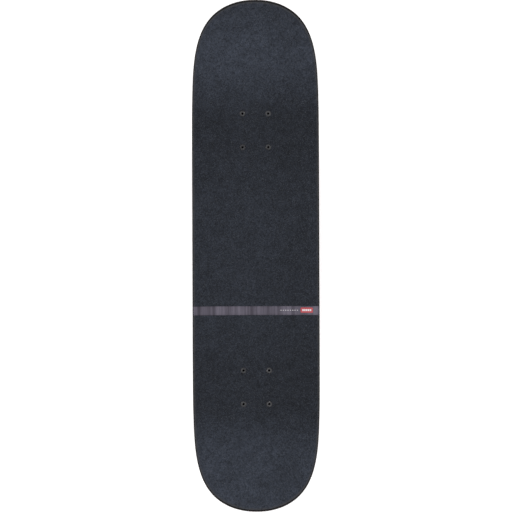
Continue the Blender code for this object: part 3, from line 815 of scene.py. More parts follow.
def flatSheet(name, rows, layers):
    # top and bottom are grids of rows and lanes, and layers of (inset, depth) join them at the rim
    lanes = [2 * step / deck["lanes"] - 1 for step in range(deck["lanes"] + 1)]
    middle, last = deck["lanes"] // 2, len(rows) - 1
    tips = [index for index in (0, last) if abs(rows[index]) >= endAt(rows[index])["tip"]]
    rim = [(0, lane) for lane in ([middle] if 0 in tips else range(len(lanes)))]
    rim += [(index, len(lanes) - 1) for index in range(1, last)]
    rim += [(last, lane) for lane in ([middle] if last in tips else range(len(lanes) - 1, -1, -1))]
    rim += [(index, 0) for index in range(last - 1, 0, -1)]
    points, spots, places = [], [], {}

    def place(layer, index, lane):
        key = (layer, index, middle if index in tips else lane)
        if key not in places:
            inset, depth = layers[layer]
            x, width = outlineRow(rows[index], inset)
            y = 0.0 if index in tips else lanes[lane] * width
            places[key] = len(points)
            points.append((x, y, -depth))
            spots.append((inset + width - abs(y), depth))
        return places[key]

    faces = []
    for layer in range(len(layers) - 1):
        for start, finish in zip(rim, rim[1:] + rim[:1]):
            above = [place(layer, *start), place(layer, *finish)]
            faces.append(above + [place(layer + 1, *finish), place(layer + 1, *start)])
    for layer in (0, len(layers) - 1):
        for index in range(last):
            for lane in range(len(lanes) - 1):
                corners = ((index, lane), (index, lane + 1), (index + 1, lane + 1), (index + 1, lane))
                faces.append(list(dict.fromkeys(place(layer, *corner) for corner in corners)))
    mesh = bpy.data.meshes.new(name)
    mesh.from_pydata(points, [], faces)
    sheetMap = mesh.uv_layers.new(name="sheet")
    rimMap = mesh.uv_layers.new(name="rim")
    for loop in mesh.loops:
        sheetMap.data[loop.index].uv = points[loop.vertex_index][:2]
        rimMap.data[loop.index].uv = spots[loop.vertex_index]
    return faceOutwards(newPiece(name, mesh))


def makePressTree():
    # bends the two kicks up round a radius, and lifts the edges into the concave
    names = ["Nose Bend", "Nose Angle", "Nose Tip", "Tail Bend", "Tail Angle", "Tail Tip", "Bend Radius"]
    names += ["Half Width", "Concave Depth", "Concave Start", "Concave Power", "Concave Fade", "Height"]
    inputs = [("Sheet", "Geometry", None), ("Material", "Material", None)]
    inputs += [(name, "Float", 0.1) for name in names]
    tree, given, result = newGroup("pressedSheet", "GeometryNodeTree", inputs, [("Sheet", "Geometry")])
    position = addNode(tree, "GeometryNodeInputPosition").outputs[0]
    spot = addNode(tree, "ShaderNodeSeparateXYZ", {0: position}).outputs
    forward = calc(tree, "GREATER_THAN", spot[0], 0.0)

    def chosen(label):
        inputs = {"False": given["Tail " + label], "True": given["Nose " + label], "Switch": forward}
        return addNode(tree, "GeometryNodeSwitch", inputs, input_type="FLOAT").outputs[0]

    bend, angle, tip = chosen("Bend"), chosen("Angle"), chosen("Tip")
    radius = given["Bend Radius"]
    run = calc(tree, "MAXIMUM", minus(tree, calc(tree, "ABSOLUTE", spot[0]), bend), 0.0)
    arc = times(tree, radius, calc(tree, "SINE", angle))
    bent = calc(tree, "MINIMUM", run, arc)
    straight = times(tree, minus(tree, run, bent), calc(tree, "TANGENT", angle))
    drop = calc(tree, "SQRT", minus(tree, times(tree, radius, radius), times(tree, bent, bent)))
    rise = plus(tree, minus(tree, radius, drop), straight)
    leanSine = calc(tree, "DIVIDE", bent, radius)
    leanCosine = calc(tree, "DIVIDE", drop, radius)
    across = minus(tree, calc(tree, "ABSOLUTE", spot[1]), given["Concave Start"])
    span = minus(tree, given["Half Width"], given["Concave Start"])
    share = calc(tree, "MAXIMUM", calc(tree, "DIVIDE", across, span), 0.0)
    fade = remap(tree, run, 0.0, minus(tree, tip, bend))
    keep = minus(tree, 1.0, times(tree, fade, given["Concave Fade"]))
    cup = times(tree, calc(tree, "POWER", share, given["Concave Power"]), given["Concave Depth"])
    outward = times(tree, calc(tree, "SIGN", spot[0]), leanSine)
    x = minus(tree, spot[0], times(tree, spot[2], outward))
    top = plus(tree, given["Height"], plus(tree, rise, times(tree, cup, keep)))
    z = plus(tree, top, times(tree, spot[2], leanCosine))
    moved = addNode(tree, "ShaderNodeCombineXYZ", {0: x, 1: spot[1], 2: z}).outputs[0]
    inputs = {"Geometry": given["Sheet"], "Position": moved}
    pressed = addNode(tree, "GeometryNodeSetPosition", inputs).outputs[0]
    return closeTree(tree, result, pressed, given["Material"])


def makeDrillTree():
    # bores at each bolt: a straight hole, a countersink and a clear space over it
    numbers = ("Mouth Radius", "Bore Radius", "Cone Depth", "Reach")
    inputs = [("Sheet", "Geometry", None), ("Places", "Object", None)]
    inputs += [(name, "Float", 1.0 * mm) for name in numbers]
    tree, given, result = newGroup("boltBores", "GeometryNodeTree", inputs, [("Sheet", "Geometry")])
    places = addNode(tree, "GeometryNodeObjectInfo", {"Object": given["Places"]}).outputs["Geometry"]
    clear, sides = 6 * mm, 32

    def cylinder(radius, depth):
        inputs = {"Vertices": sides, "Radius": radius, "Depth": depth}
        return addNode(tree, "GeometryNodeMeshCylinder", inputs).outputs["Mesh"]

    def lifted(solid, height):
        lift = addNode(tree, "ShaderNodeCombineXYZ", {2: height}).outputs[0]
        inputs = {"Geometry": solid, "Translation": lift}
        return addNode(tree, "GeometryNodeTransform", inputs).outputs[0]

    inputs = {"Vertices": sides, "Radius Top": given["Mouth Radius"], "Radius Bottom": given["Bore Radius"]}
    cone = addNode(tree, "GeometryNodeMeshCone", {**inputs, "Depth": given["Cone Depth"]}).outputs["Mesh"]
    shaft = cylinder(given["Bore Radius"], given["Reach"])
    countersink = lifted(cone, times(tree, given["Cone Depth"], -1.0))
    mouth = lifted(cylinder(given["Mouth Radius"], clear), clear / 2)
    sheet = given["Sheet"]
    for cutter in (shaft, countersink, mouth):
        inputs = {"Points": places, "Instance": cutter}
        copies = addNode(tree, "GeometryNodeInstanceOnPoints", inputs).outputs[0]
        whole = addNode(tree, "GeometryNodeRealizeInstances", {0: copies}).outputs[0]
        cut = addNode(tree, "GeometryNodeMeshBoolean", None, operation="DIFFERENCE", solver="EXACT")
        tree.links.new(sheet, cut.inputs["Mesh 1"])
        tree.links.new(whole, cut.inputs["Mesh 2"])
        sheet = cut.outputs["Mesh"]
    drilled = addNode(tree, "GeometryNodeRealizeInstances", {0: sheet}).outputs[0]
    tree.links.new(drilled, result.inputs[0])
    return tree


pressTree = makePressTree()
drillTree = makeDrillTree()


def drillSheet(item, sizes):
    return runTree(item, drillTree, {"Places": boltRow, **sizes})


def pressSheet(item, material):
    values = {"Bend Radius": deck["bendRadius"], "Half Width": deck["halfWidth"]}
    values.update({"Height": deck["top"], "Material": material})
    for label, end in (("Nose", deck["nose"]), ("Tail", deck["tail"])):
        for part in ("Bend", "Angle", "Tip"):
            values[f"{label} {part}"] = end[part.lower()]
    for part in ("Depth", "Start", "Power", "Fade"):
        values["Concave " + part] = deck["concave" + part]
    return shadeByAngle(runTree(item, pressTree, values), 40)


# Places of the trucks and bolts, from the frame

truck = {
    "axleDrop": 53.0 * mm,
    "kingpinTop": -14.5 * mm,
    "kingpinLean": radians(14),
    "pivotTip": Vector((19.0 * mm, 0, -12.0 * mm)),
    "ringDepth": 35.0 * mm,
    "underside": deck["top"] - deck["thickness"],
}


def middleOf(node):
    low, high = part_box(node)
    return (low + high) / 2


def makeBoltPlaces():
    places = []
    for name in sorted(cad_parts):
        if "_bolt_" in name:
            middle = middleOf(name)
            places.append((middle.x, middle.y, 0.0))
    return places


boltPlaces = makeBoltPlaces()
truckMiddles = {name: middleOf(f"{name}_axle").x for name in ("front", "rear")}


def placesPiece(name, places):
    mesh = bpy.data.meshes.new(name)
    mesh.from_pydata(places, [], [])
    return newPiece(name, mesh)


boltRow = placesPiece("boltPlaces", boltPlaces)


def makeDeck():
    radius = deck["edgeRadius"]
    arc = [pi / 2 * step / 5 for step in range(6)]
    upper = [(radius * (1 - sin(turn)), radius * (1 - cos(turn))) for turn in arc]
    lower = [(inset, deck["thickness"] - depth) for inset, depth in reversed(upper)]
    board = flatSheet("deckBoard", deckRows(), upper + lower)
    drillSheet(board, deck["bores"])
    pressSheet(board, deckMaterial)
    return finishPiece(board, "board", ["deck"])


def makeGripSheets():
    start = gripTape["stripMiddle"] + gripTape["stripWidth"] / 2
    finish = gripTape["stripMiddle"] - gripTape["stripWidth"] / 2
    rows = deckRows()
    closest = 2 * mm
    sheets = {
        "gripFront": (["grip_tape_front"], [x for x in rows if x > start + closest] + [start]),
        "gripRear": (["grip_tape_rear"], [finish] + [x for x in rows if x < finish - closest]),
    }
    under, over = -gripTape["gap"], -gripTape["gap"] - gripTape["thickness"]
    inset = gripTape["inset"]
    # the tape's upper edge is filed round
    layers = [(inset + 3.5 * mm, over), (inset + 1.6 * mm, over), (inset + 0.5 * mm, over + 0.04 * mm)]
    layers += [(inset + 0.1 * mm, over + 0.25 * mm), (inset, under), (inset + 3.5 * mm, under)]
    for name, (nodes, sheetRows) in sheets.items():
        sheet = flatSheet(name, sheetRows, layers)
        drillSheet(sheet, gripTape["bores"])
        pressSheet(sheet, gripMaterial)
        finishPiece(sheet, "board", nodes)


makeDeck()
makeGripSheets()
print("deck and grip tape made")


# Plain marks on the bare strip: a red badge with pale bars, and a row of short dashes

stripMarks = {
    "low": 0.02 * mm,
    "badgeMiddle": (-86.8 * mm, -81.2 * mm),
    "badgeSize": (8.4 * mm, 19.6 * mm),
    "badgeCorner": 1.6 * mm,
    "badgeRise": 0.10 * mm,
    "inkRise": 0.06 * mm,
    "barMiddle": (-86.8 * mm, -81.2 * mm),
    "barCount": 5,
    "barSize": (3.1 * mm, 2.2 * mm),
    "barCorner": 0.3 * mm,
    "barStep": 3.0 * mm,
    "dashMiddle": (-87.0 * mm, -53.2 * mm),
    "dashCount": 8,
    "dashSize": (0.9 * mm, 1.7 * mm),
    "dashCorner": 0.25 * mm,
    "dashStep": 3.75 * mm,
}


def markPlate(middle, size, corner, low, high):
    # a small flat plate with round corners, cut into lanes so that it can bend
    lanes, bevel = 10, 0.03 * mm
    levels = [(0.0, low), (0.0, high - bevel), (bevel, high)]
    shape = roundedPlate(*size, corner, levels, 6, middle)
    for lane in range(1, lanes):
        y = middle[1] + size[1] * (lane / lanes - 0.5)
        everything = shape.verts[:] + shape.edges[:] + shape.faces[:]
        bmesh.ops.bisect_plane(shape, geom=everything, plane_co=(0, y, 0), plane_no=(0, 1, 0))
    return pieceFromShape("mark", shape)


def markRow(kind, low, high):
    # equal marks in a row across the strip
    x, middle = stripMarks[kind + "Middle"]
    count, size = stripMarks[kind + "Count"], stripMarks[kind + "Size"]
    places = [middle + (index - (count - 1) / 2) * stripMarks[kind + "Step"] for index in range(count)]
    return [markPlate((x, y), size, stripMarks[kind + "Corner"], low, high) for y in places]


def makeStripMarks():
    low, rise = stripMarks["low"], stripMarks["badgeRise"]
    middle, size, corner = stripMarks["badgeMiddle"], stripMarks["badgeSize"], stripMarks["badgeCorner"]
    badge = markPlate(middle, size, corner, low, rise)
    badge.name = "redBadge"
    finishPiece(pressSheet(badge, badgeMaterial), "board")
    inkRise = stripMarks["inkRise"]
    marks = markRow("bar", rise, rise + inkRise) + markRow("dash", low, low + inkRise)
    ink = joinMeshes("paleMarks", marks)
    finishPiece(pressSheet(ink, inkMaterial), "board")


makeStripMarks()


# Repeated pieces and screw threads

def makeRepeatTree():
    inputs = [("Places", "Geometry", None), ("Piece", "Object", None), ("Turn", "Float", 0.0)]
    inputs += [("Seed", "Int", 3), ("Material", "Material", None)]
    tree, given, result = newGroup("repeatedPiece", "GeometryNodeTree", inputs, [("Pieces", "Geometry")])
    piece = addNode(tree, "GeometryNodeObjectInfo", {"Object": given["Piece"]}).outputs["Geometry"]
    turn = addNode(tree, "FunctionNodeRandomValue", {"Seed": given["Seed"]}, data_type="FLOAT")
    tree.links.new(given["Turn"], turn.inputs[3])
    lean = addNode(tree, "ShaderNodeCombineXYZ", {2: turn.outputs[1]}).outputs[0]
    inputs = {"Points": given["Places"], "Instance": piece, "Rotation": lean}
    spread = addNode(tree, "GeometryNodeInstanceOnPoints", inputs).outputs[0]
    return closeTree(tree, result, spread, given["Material"])


def makeThreadTree():
    inputs = [("Start", "Geometry", None), ("Radius", "Float", 2.4 * mm), ("Pitch", "Float", 0.8 * mm)]
    inputs += [("Turns", "Float", 8.0), ("Ridge", "Float", 0.3 * mm), ("Material", "Material", None)]
    tree, given, result = newGroup("screwThread", "GeometryNodeTree", inputs, [("Thread", "Geometry")])
    height = times(tree, given["Pitch"], given["Turns"])
    inputs = {"Resolution": 28, "Rotations": given["Turns"], "Height": height}
    inputs.update({"Start Radius": given["Radius"], "End Radius": given["Radius"]})
    coil = addNode(tree, "GeometryNodeCurveSpiral", inputs).outputs[0]
    inputs = {"Resolution": 4, "Radius": given["Ridge"]}
    ridge = addNode(tree, "GeometryNodeCurvePrimitiveCircle", inputs, mode="RADIUS").outputs[0]
    inputs = {"Curve": coil, "Profile Curve": ridge, "Fill Caps": True}
    swept = addNode(tree, "GeometryNodeCurveToMesh", inputs).outputs[0]
    return closeTree(tree, result, swept, given["Material"])


repeatTree = makeRepeatTree()
threadTree = makeThreadTree()


def repeatPiece(name, piece, places, material, turn=0.0, seed=3):
    spots = placesPiece(name, places)
    values = {"Piece": piece, "Turn": turn, "Seed": seed, "Material": material}
    runTree(spots, repeatTree, values)
    dropPiece(piece)
    return shadeByAngle(spots, 30)


def threadPiece(radius, pitch, length, place, material):
    coil = placesPiece("thread", [(0, 0, 0)])
    values = {"Radius": radius, "Pitch": pitch, "Turns": length / pitch}
    values.update({"Ridge": pitch * 0.42, "Material": material})
    runTree(coil, threadTree, values)
    return shadeByAngle(placeMesh(coil, place), 50)


# A lock nut that stands on z = 0, with a round washer face and chamfered corners

def nutPiece(name, width, height, bore, place, segments=72):
    half, corner = width / 2, width / 2 / cos(pi / 6)
    body, foot, chamfer = height * 0.74, 0.12 * mm, (corner - half) * 0.62
    bevel = [(half + (corner - half) * step / 5, chamfer * step / 5) for step in range(6)]
    levels = [(bore, 0.15 * mm), (bore + 0.15 * mm, 0), (half * 0.95, 0), (half * 0.99, foot, half)]
    levels += [(reach, foot + rise, half) for reach, rise in bevel[1:]]
    levels += [(reach, body - rise, half) for reach, rise in reversed(bevel)]
    levels += [(half * 0.93, body), (half * 0.90, body + 0.1 * mm), (half * 0.90, height - 0.5 * mm)]
    levels += [(half * 0.86, height - 0.12 * mm), (half * 0.80, height), (half * 0.74, height)]
    levels += [(half * 0.72, height - 0.2 * mm), (bore, height - 0.2 * mm)]
    return turnedPiece(name, levels, segments, True, place, 24)


def collarPiece(name, width, height, bore, place):
    # the nylon ring pressed into the top of a lock nut
    inner, outer = bore - 0.12 * mm, width / 2 * 0.71
    low, high = height - 0.19 * mm, height - 0.05 * mm
    ring = [(inner, low), (outer, low), (outer, high), (inner, high)]
    return turnedPiece(name, softProfile(ring, 0.06 * mm, steps=2), 48, True, place)


mounting = {
    "headRadius": 4.7 * mm,
    "shankRadius": 2.3 * mm,
    "headRise": 0.6 * mm,
    "length": 25.4 * mm,
    "socketWidth": 3.2 * mm,
    "socketDepth": 2.2 * mm,
    "threadPitch": 0.8 * mm,
    "threadLength": 9.0 * mm,
    "nutWidth": 9.5 * mm,
    "nutHeight": 5.8 * mm,
    "nutTop": 72.1 * mm,
}


def makeMountingBolts():
    m = mounting
    head, shank, rise, half = m["headRadius"], m["shankRadius"], m["headRise"], m["socketWidth"] / 2
    end, floor, corner = rise - m["length"], rise - m["socketDepth"], half / cos(pi / 6)
    rim = rise - 0.4 * mm
    levels = [(0, floor - 0.5 * mm), (half * 0.8, floor - 0.15 * mm), (corner, floor, half)]
    levels += [(corner, rise - 0.35 * mm, half), (corner + 0.25 * mm, rise - 0.05 * mm)]
    levels += [(corner + 0.4 * mm, rise), (head - 0.5 * mm, rise), (head - 0.2 * mm, rise - 0.06 * mm)]
    levels += [(head, rise - 0.25 * mm), (head, rim), (shank + 0.25 * mm, rim - (head - shank) * 1.12)]
    levels += [(shank, rise - 3.6 * mm), (shank, end + 0.6 * mm), (shank - 0.5 * mm, end), (0, end)]
    bolt = turnedPiece("bolt", levels, 48, False, smooth=28)
    place = Matrix.Translation((0, 0, end + 0.5 * mm))
    thread = threadPiece(shank - 0.2 * mm, m["threadPitch"], m["threadLength"], place, boltMaterial)
    whole = joinMeshes("boltWithThread", [bolt, thread])
    places = [(x, y, deck["top"]) for x, y, z in boltPlaces]
    bolts = repeatPiece("mountingBolts", whole, places, boltMaterial, turn=2 * pi, seed=5)
    nodes = [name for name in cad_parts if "_bolt_" in name]
    finishPiece(bolts, "board", nodes)


def makeMountingNuts():
    m = mounting
    under = Matrix.Rotation(pi, 4, "X")
    bore = m["shankRadius"] + 0.15 * mm
    nut = nutPiece("nut", m["nutWidth"], m["nutHeight"], bore, under)
    collar = collarPiece("collar", m["nutWidth"], m["nutHeight"], bore, under)
    places = [(x, y, m["nutTop"]) for x, y, z in boltPlaces]
    nuts = repeatPiece("mountingNuts", nut, places, zincMaterial, turn=2 * pi, seed=9)
    finishPiece(nuts, "board", [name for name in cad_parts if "_nut_" in name])
    collars = repeatPiece("mountingNutCollars", collar, places, nylonMaterial)
    finishPiece(collars, "board")


makeMountingBolts()
makeMountingNuts()
print("mounting hardware made")


# Frames of the truck's parts. In a truck's own frame X points away from the board's middle.

ringMiddle = Vector((
    truck["kingpinTop"] - truck["ringDepth"] * sin(truck["kingpinLean"]), 0,
    -truck["ringDepth"] * cos(truck["kingpinLean"])))
steering = (truck["pivotTip"] - ringMiddle).normalized()


def truckFrame(name):
    turn = Matrix() if name == "front" else Matrix.Rotation(pi, 4, "Z")
    return Matrix.Translation((truckMiddles[name], 0, truck["underside"])) @ turn


def kingpinFrame():
    return Matrix.Translation((truck["kingpinTop"], 0, 0)) @ Matrix.Rotation(truck["kingpinLean"], 4, "Y")


def steeringFrame(origin):
    return Matrix.Translation(origin) @ steering.to_track_quat("Z", "Y").to_matrix().to_4x4()


def axleFrame():
    return Matrix.Translation((0, 0, -truck["axleDrop"])) @ Matrix.Rotation(-pi / 2, 4, "X")


def combine(item, other, operation):
    step = item.modifiers.new(operation.lower(), "BOOLEAN")
    step.operation = operation
    step.object = other
    step.solver = "EXACT"
    return other


casting = {"voxel": 0.56 * mm, "softening": 15, "factor": 0.6}


def castPiece(name, body, added, removed):
    # unions and cuts the solids, and then gives them the soft edges of a casting
    helpers = [combine(body, other, "UNION") for other in added]
    helpers += [combine(body, other, "DIFFERENCE") for other in removed]
    remesh = body.modifiers.new("skin", "REMESH")
    remesh.mode = "VOXEL"
    remesh.voxel_size = casting["voxel"]
    soften = body.modifiers.new("soften", "SMOOTH")
    soften.factor = casting["factor"]
    soften.iterations = casting["softening"]
    bakeModifiers(body)
    for helper in helpers:
        dropPiece(helper)
    body.name = name
    body.data.shade_smooth()
    return body


baseplate = {
    "length": 80.0 * mm,
    "width": 57.0 * mm,
    "corner": 9.0 * mm,
    "top": -0.3 * mm,
    "bottom": -6.8 * mm,
    "seatDepth": 13.0 * mm,
    "boltSpacing": (53.975 * mm, 41.275 * mm),
    "rim": inMm((0, -0.3), (0, -4.1), (0.3, -5.3), (1.2, -6.8)),
    "boss": inMm((0, 2), (14.3, 2), (12.7, -13.0), (0, -13.0)),
    "housing": inMm((0, 7.8), (11.8, 7.8), (10.9, -7.9), (0, -7.9)),
    "kingHole": inMm((0, 9), (8.65, 9), (8.65, -8.9), (5.05, -8.9), (5.05, -30), (0, -30)),
    "pocket": inMm((0, 2.6), (8.0, 2.6), (8.0, -30), (0, -30)),
    "boltHole": inMm((0, 9), (2.75, 9), (2.75, -30), (0, -30)),
    # a rib is its start, its end, its width and its lowest height
    "ribs": inMm((-6, 7.5, 12, 7.5, 3.4, -13), (-6, -7.5, 12, -7.5, 3.4, -13),
                 (16, 0, 33, 0, 5, -10.5), (-34, 0, -22, 0, 5, -10)),
    "ribTop": -5.0 * mm,
    "slot": (26 * mm, 9 * mm, 3.5 * mm),
    "slotDepth": 1.8 * mm,
    "slotMiddle": (1.5 * mm, 20.6 * mm),
}


def platePiece(name, length, width, corner, levels):
    plate = pieceFromShape(name, roundedPlate(length, width, corner, levels, 12))
    return faceOutwards(plate)


def ribPiece(start, end, width, low, high):
    # a straight rib on the plate's underside, from one point to another, narrower at its foot
    start, end = Vector(start), Vector(end)
    along = (end - start).normalized()
    side = Vector((-along.y, along.x)) * width / 2
    shape = bmesh.new()
    rings = []
    for height, share in ((high, 1.0), (low, 0.6)):
        spots = [spot + side * sign * share for spot, sign in ((start, 1), (end, 1), (end, -1), (start, -1))]
        rings.append([shape.verts.new((*spot, height)) for spot in spots])
    for index in range(4):
        other = (index + 1) % 4
        shape.faces.new((rings[0][index], rings[0][other], rings[1][other], rings[1][index]))
    shape.faces.new(rings[0])
    shape.faces.new(reversed(rings[1]))
    return faceOutwards(pieceFromShape("rib", shape))


def solid(levels, place, segments=48):
    return turnedPiece("solid", levels, segments, False, place)


def makeBaseplate():
    b = baseplate
    king, pivot = kingpinFrame(), steeringFrame(truck["pivotTip"])
    plate = platePiece("plate", b["length"], b["width"], b["corner"], b["rim"])
    added = [solid(b["boss"], king), solid(b["housing"], pivot)]
    added += [ribPiece(rib[:2], rib[2:4], rib[4], rib[5], b["ribTop"]) for rib in b["ribs"]]
    # the trim takes off what stands above the plate's top
    trim = platePiece("trim", 200 * mm, 200 * mm, 5 * mm, [(0, 30 * mm), (0, b["top"])])
    removed = [trim, solid(b["kingHole"], king), solid(b["pocket"], pivot)]
    for x in (-0.5, 0.5):
        for y in (-0.5, 0.5):
            place = Matrix.Translation((x * b["boltSpacing"][0], y * b["boltSpacing"][1], 0))
            removed.append(solid(b["boltHole"], place, 24))
    for side in (-1, 1):
        levels = [(0, b["bottom"] + b["slotDepth"]), (0, b["bottom"] - 8 * mm)]
        slot = platePiece("slot", *b["slot"], levels)
        x, y = b["slotMiddle"]
        removed.append(placeMesh(slot, Matrix.Translation((x, side * y, 0))))
    return castPiece("baseplate", plate, added, removed)


hanger = {
    "halfWidth": 68.2 * mm,
    "endRadius": 8.5 * mm,
    "middleRadius": 10.0 * mm,
    "webRise": 21.0 * mm,
    "ringRadius": 16.5 * mm,
    "ringHeight": 11.0 * mm,
    "ringWeb": 7.8 * mm,
    "ringSeat": 13.2 * mm,
    "ringBore": 9.0 * mm,
    "armRadius": 8.4 * mm,
    "stemRadius": 5.0 * mm,
    "scoopRadius": 16.3 * mm,
    "scoopDepth": 24.0 * mm,
    "axleBore": 4.15 * mm,
}


def smoothStep(value):
    value = min(max(value, 0.0), 1.0)
    return value * value * (3 - 2 * value)


def beamPiece():
    # round at the ends and tall in the middle, with a waist between the web and the axle
    points, faces, around, stations = [], [], 40, 60
    for station in range(stations + 1):
        share = 2 * station / stations - 1
        middle = smoothStep(max(1 - abs(share) / 0.75, 0.0))
        thick = hanger["endRadius"] + (hanger["middleRadius"] - hanger["endRadius"]) * middle
        tall = thick + hanger["webRise"] * middle ** 1.2
        collar = 0.35 * mm * (1 if abs(share) > 0.95 else 0)
        for step in range(around):
            turn = 2 * pi * step / around
            reach = tall if sin(turn) > 0 else thick
            waist = 1 - 0.22 * middle * max(sin(turn), 0.0) ** 0.7
            x = (thick - collar) * cos(turn) * waist
            points.append((x, share * hanger["halfWidth"], (reach - collar) * sin(turn)))
    for station in range(stations):
        for step in range(around):
            other = (step + 1) % around
            start = station * around
            faces.append((start + step, start + other, start + around + other, start + around + step))
    faces.append(list(range(around)))
    faces.append([stations * around + step for step in range(around - 1, -1, -1)])
    mesh = bpy.data.meshes.new("beam")
    mesh.from_pydata(points, [], faces)
    beam = faceOutwards(newPiece("beam", mesh))
    return placeMesh(beam, Matrix.Translation((0, 0, -truck["axleDrop"])))


def makeHanger():
    h = hanger
    king, arm = kingpinFrame(), steeringFrame(ringMiddle)
    depth, seat, edge = truck["ringDepth"], h["ringWeb"] / 2, 1 * mm
    high, low = -depth + h["ringHeight"] / 2, -depth - h["ringHeight"] / 2
    tip = (truck["pivotTip"] - ringMiddle).length - 0.3 * mm
    far = 80 * mm
    ring = [(0, high), (h["ringRadius"] - edge, high), (h["ringRadius"], high - edge)]
    ring += [(h["ringRadius"], low + edge), (h["ringRadius"] - edge, low), (0, low)]
    stem = [(0, 6 * mm), (h["armRadius"], 6 * mm), (h["armRadius"], tip - 13.7 * mm)]
    stem += [(h["stemRadius"] + 1 * mm, tip - 10.2 * mm), (h["stemRadius"], tip - 2.2 * mm)]
    stem += [(h["stemRadius"] - 1.6 * mm, tip), (0, tip)]
    bore = [(0, 0), (h["scoopRadius"], 0), (h["scoopRadius"], -h["scoopDepth"])]
    bore += [(h["ringSeat"], -h["scoopDepth"] - 2 * mm), (h["ringSeat"], seat - depth)]
    bore += [(h["ringBore"], seat - depth), (h["ringBore"], -seat - depth), (h["ringSeat"], -seat - depth)]
    bore += [(h["ringSeat"], low - 30 * mm), (0, low - 30 * mm)]
    tunnel = [(0, -far), (h["axleBore"], -far), (h["axleBore"], far), (0, far)]
    added = [solid(ring, king, 72), solid(stem, arm)]
    removed = [solid(bore, king, 72), solid(tunnel, axleFrame(), 32)]
    return castPiece("hanger", beamPiece(), added, removed)


kingpin = {
    "radius": 4.7 * mm,
    "headTop": 2.6 * mm,
    "headHeight": 6.0 * mm,
    "headWidth": 14.3 * mm,
    "end": 60.5 * mm,
    "threadPitch": 1.06 * mm,
    "threadLength": 12.0 * mm,
    "nutHeight": 7.0 * mm,
    "washer": 1.8 * mm,
    "upperStart": 15.4 * mm,
    "lowerHeight": 10.0 * mm,
    "bushingRadius": 12.35 * mm,
    "gap": 0.3 * mm,
}


def makeKingpin(name, place):
    k = kingpin
    half, radius = k["headWidth"] / 2, k["radius"]
    corner = half / cos(pi / 6)
    top, base, end = -k["headTop"], -k["headTop"] - k["headHeight"], -k["end"]
    levels = [(0, top), (half * 0.93, top), (half, top - 0.15 * mm, half), (corner, top - 0.8 * mm, half)]
    levels += [(corner, base, half), (radius + 0.4 * mm, base), (radius, base - 0.4 * mm)]
    levels += [(radius, end + 0.9 * mm), (radius - 0.9 * mm, end), (0, end)]
    pin = turnedPiece(name, levels, 60, False, place, 26)
    threadPlace = place @ Matrix.Translation((0, 0, end + 0.7 * mm))
    thread = threadPiece(radius - 0.28 * mm, k["threadPitch"], k["threadLength"], threadPlace, blackMaterial)
    return joinMeshes(name, [pin, thread])


def pinPiece(name, place, corners, rounding, material):
    # a turned piece on the kingpin, with its depths counted down from the deck
    profile = softProfile([(reach, -depth, *more) for reach, depth, *more in corners], rounding)
    piece = turnedPiece(name, profile, 64, True, place, 35)
    piece.data.materials.append(material)
    return piece


def makeBushings(name, place, bore):
    # the barrel above the hanger's ring and the cone below it, both turned round the kingpin
    k = kingpin
    gap, radius, web = k["gap"], k["bushingRadius"], hanger["ringWeb"] / 2

    start, finish = k["upperStart"], truck["ringDepth"] - web - gap
    barrel = [(bore, start, 0.4 * mm), (radius - 0.3 * mm, start, 1.2 * mm)]
    barrel += [(radius, (start + finish) / 2, 3 * mm), (radius - 0.3 * mm, finish, 1.2 * mm)]
    barrel += [(bore, finish, 0.4 * mm)]
    upper = pinPiece(f"{name}BushingUpper", place, barrel, 0.8 * mm, bushingMaterial)
    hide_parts(f"{name}_bushing_upper")
    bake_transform(upper)

    start = truck["ringDepth"] + web + gap
    finish = start + k["lowerHeight"]
    cone = [(bore, start, 0.4 * mm), (radius - 0.2 * mm, start, 1.0 * mm)]
    cone += [(radius - 0.3 * mm, start + 3 * mm, 1.5 * mm), (8.8 * mm, finish, 0.8 * mm)]
    cone += [(bore, finish, 0.4 * mm)]
    lower = pinPiece(f"{name}BushingLower", place, cone, 0.8 * mm, bushingMaterial)
    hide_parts(f"{name}_bushing_lower")
    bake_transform(lower)
    return finish


def makeKingpinStack(name, place):
    k = kingpin
    gap, thick, bore = k["gap"], k["washer"], k["radius"] + 0.25 * mm
    coneEnd = makeBushings(name, place, bore)

    top, lip = baseplate["seatDepth"] + gap, 1.2 * mm
    cup = [(bore, top), (11 * mm, top, 0.8 * mm), (13.4 * mm, top + lip, 0.5 * mm)]
    cup += [(13.4 * mm, top + thick + lip, 0.3 * mm), (12.7 * mm, top + thick + lip, 0.2 * mm)]
    cup += [(12.7 * mm, top + thick, 0.3 * mm), (bore, top + thick)]
    upper = pinPiece(f"{name}WasherUpper", place, cup, 0.2 * mm, zincMaterial)
    finishPiece(upper, "board", [f"{name}_washer_upper"])

    start = coneEnd + gap
    finish, lip = start + thick, start - 0.9 * mm
    dish = [(bore, start), (9.8 * mm, start, 0.2 * mm), (9.8 * mm, lip, 0.15 * mm)]
    dish += [(10.6 * mm, lip, 0.3 * mm), (10.6 * mm, start + 0.6 * mm, 0.5 * mm)]
    dish += [(9.0 * mm, finish, 0.6 * mm), (bore, finish)]
    lower = pinPiece(f"{name}WasherLower", place, dish, 0.2 * mm, zincMaterial)
    finishPiece(lower, "board", [f"{name}_washer_lower"])

    nutPlace = place @ Matrix.Translation((0, 0, -finish - gap)) @ Matrix.Rotation(pi, 4, "X")
    nut = nutPiece(f"{name}KingpinNut", k["headWidth"], k["nutHeight"], bore, nutPlace)
    finishPiece(nut, "board", [f"{name}_kingpin_nut"], zincMaterial)
    collar = collarPiece(f"{name}KingpinNutCollar", k["headWidth"], k["nutHeight"], bore, nutPlace)
    finishPiece(collar, "board", (), nylonMaterial)


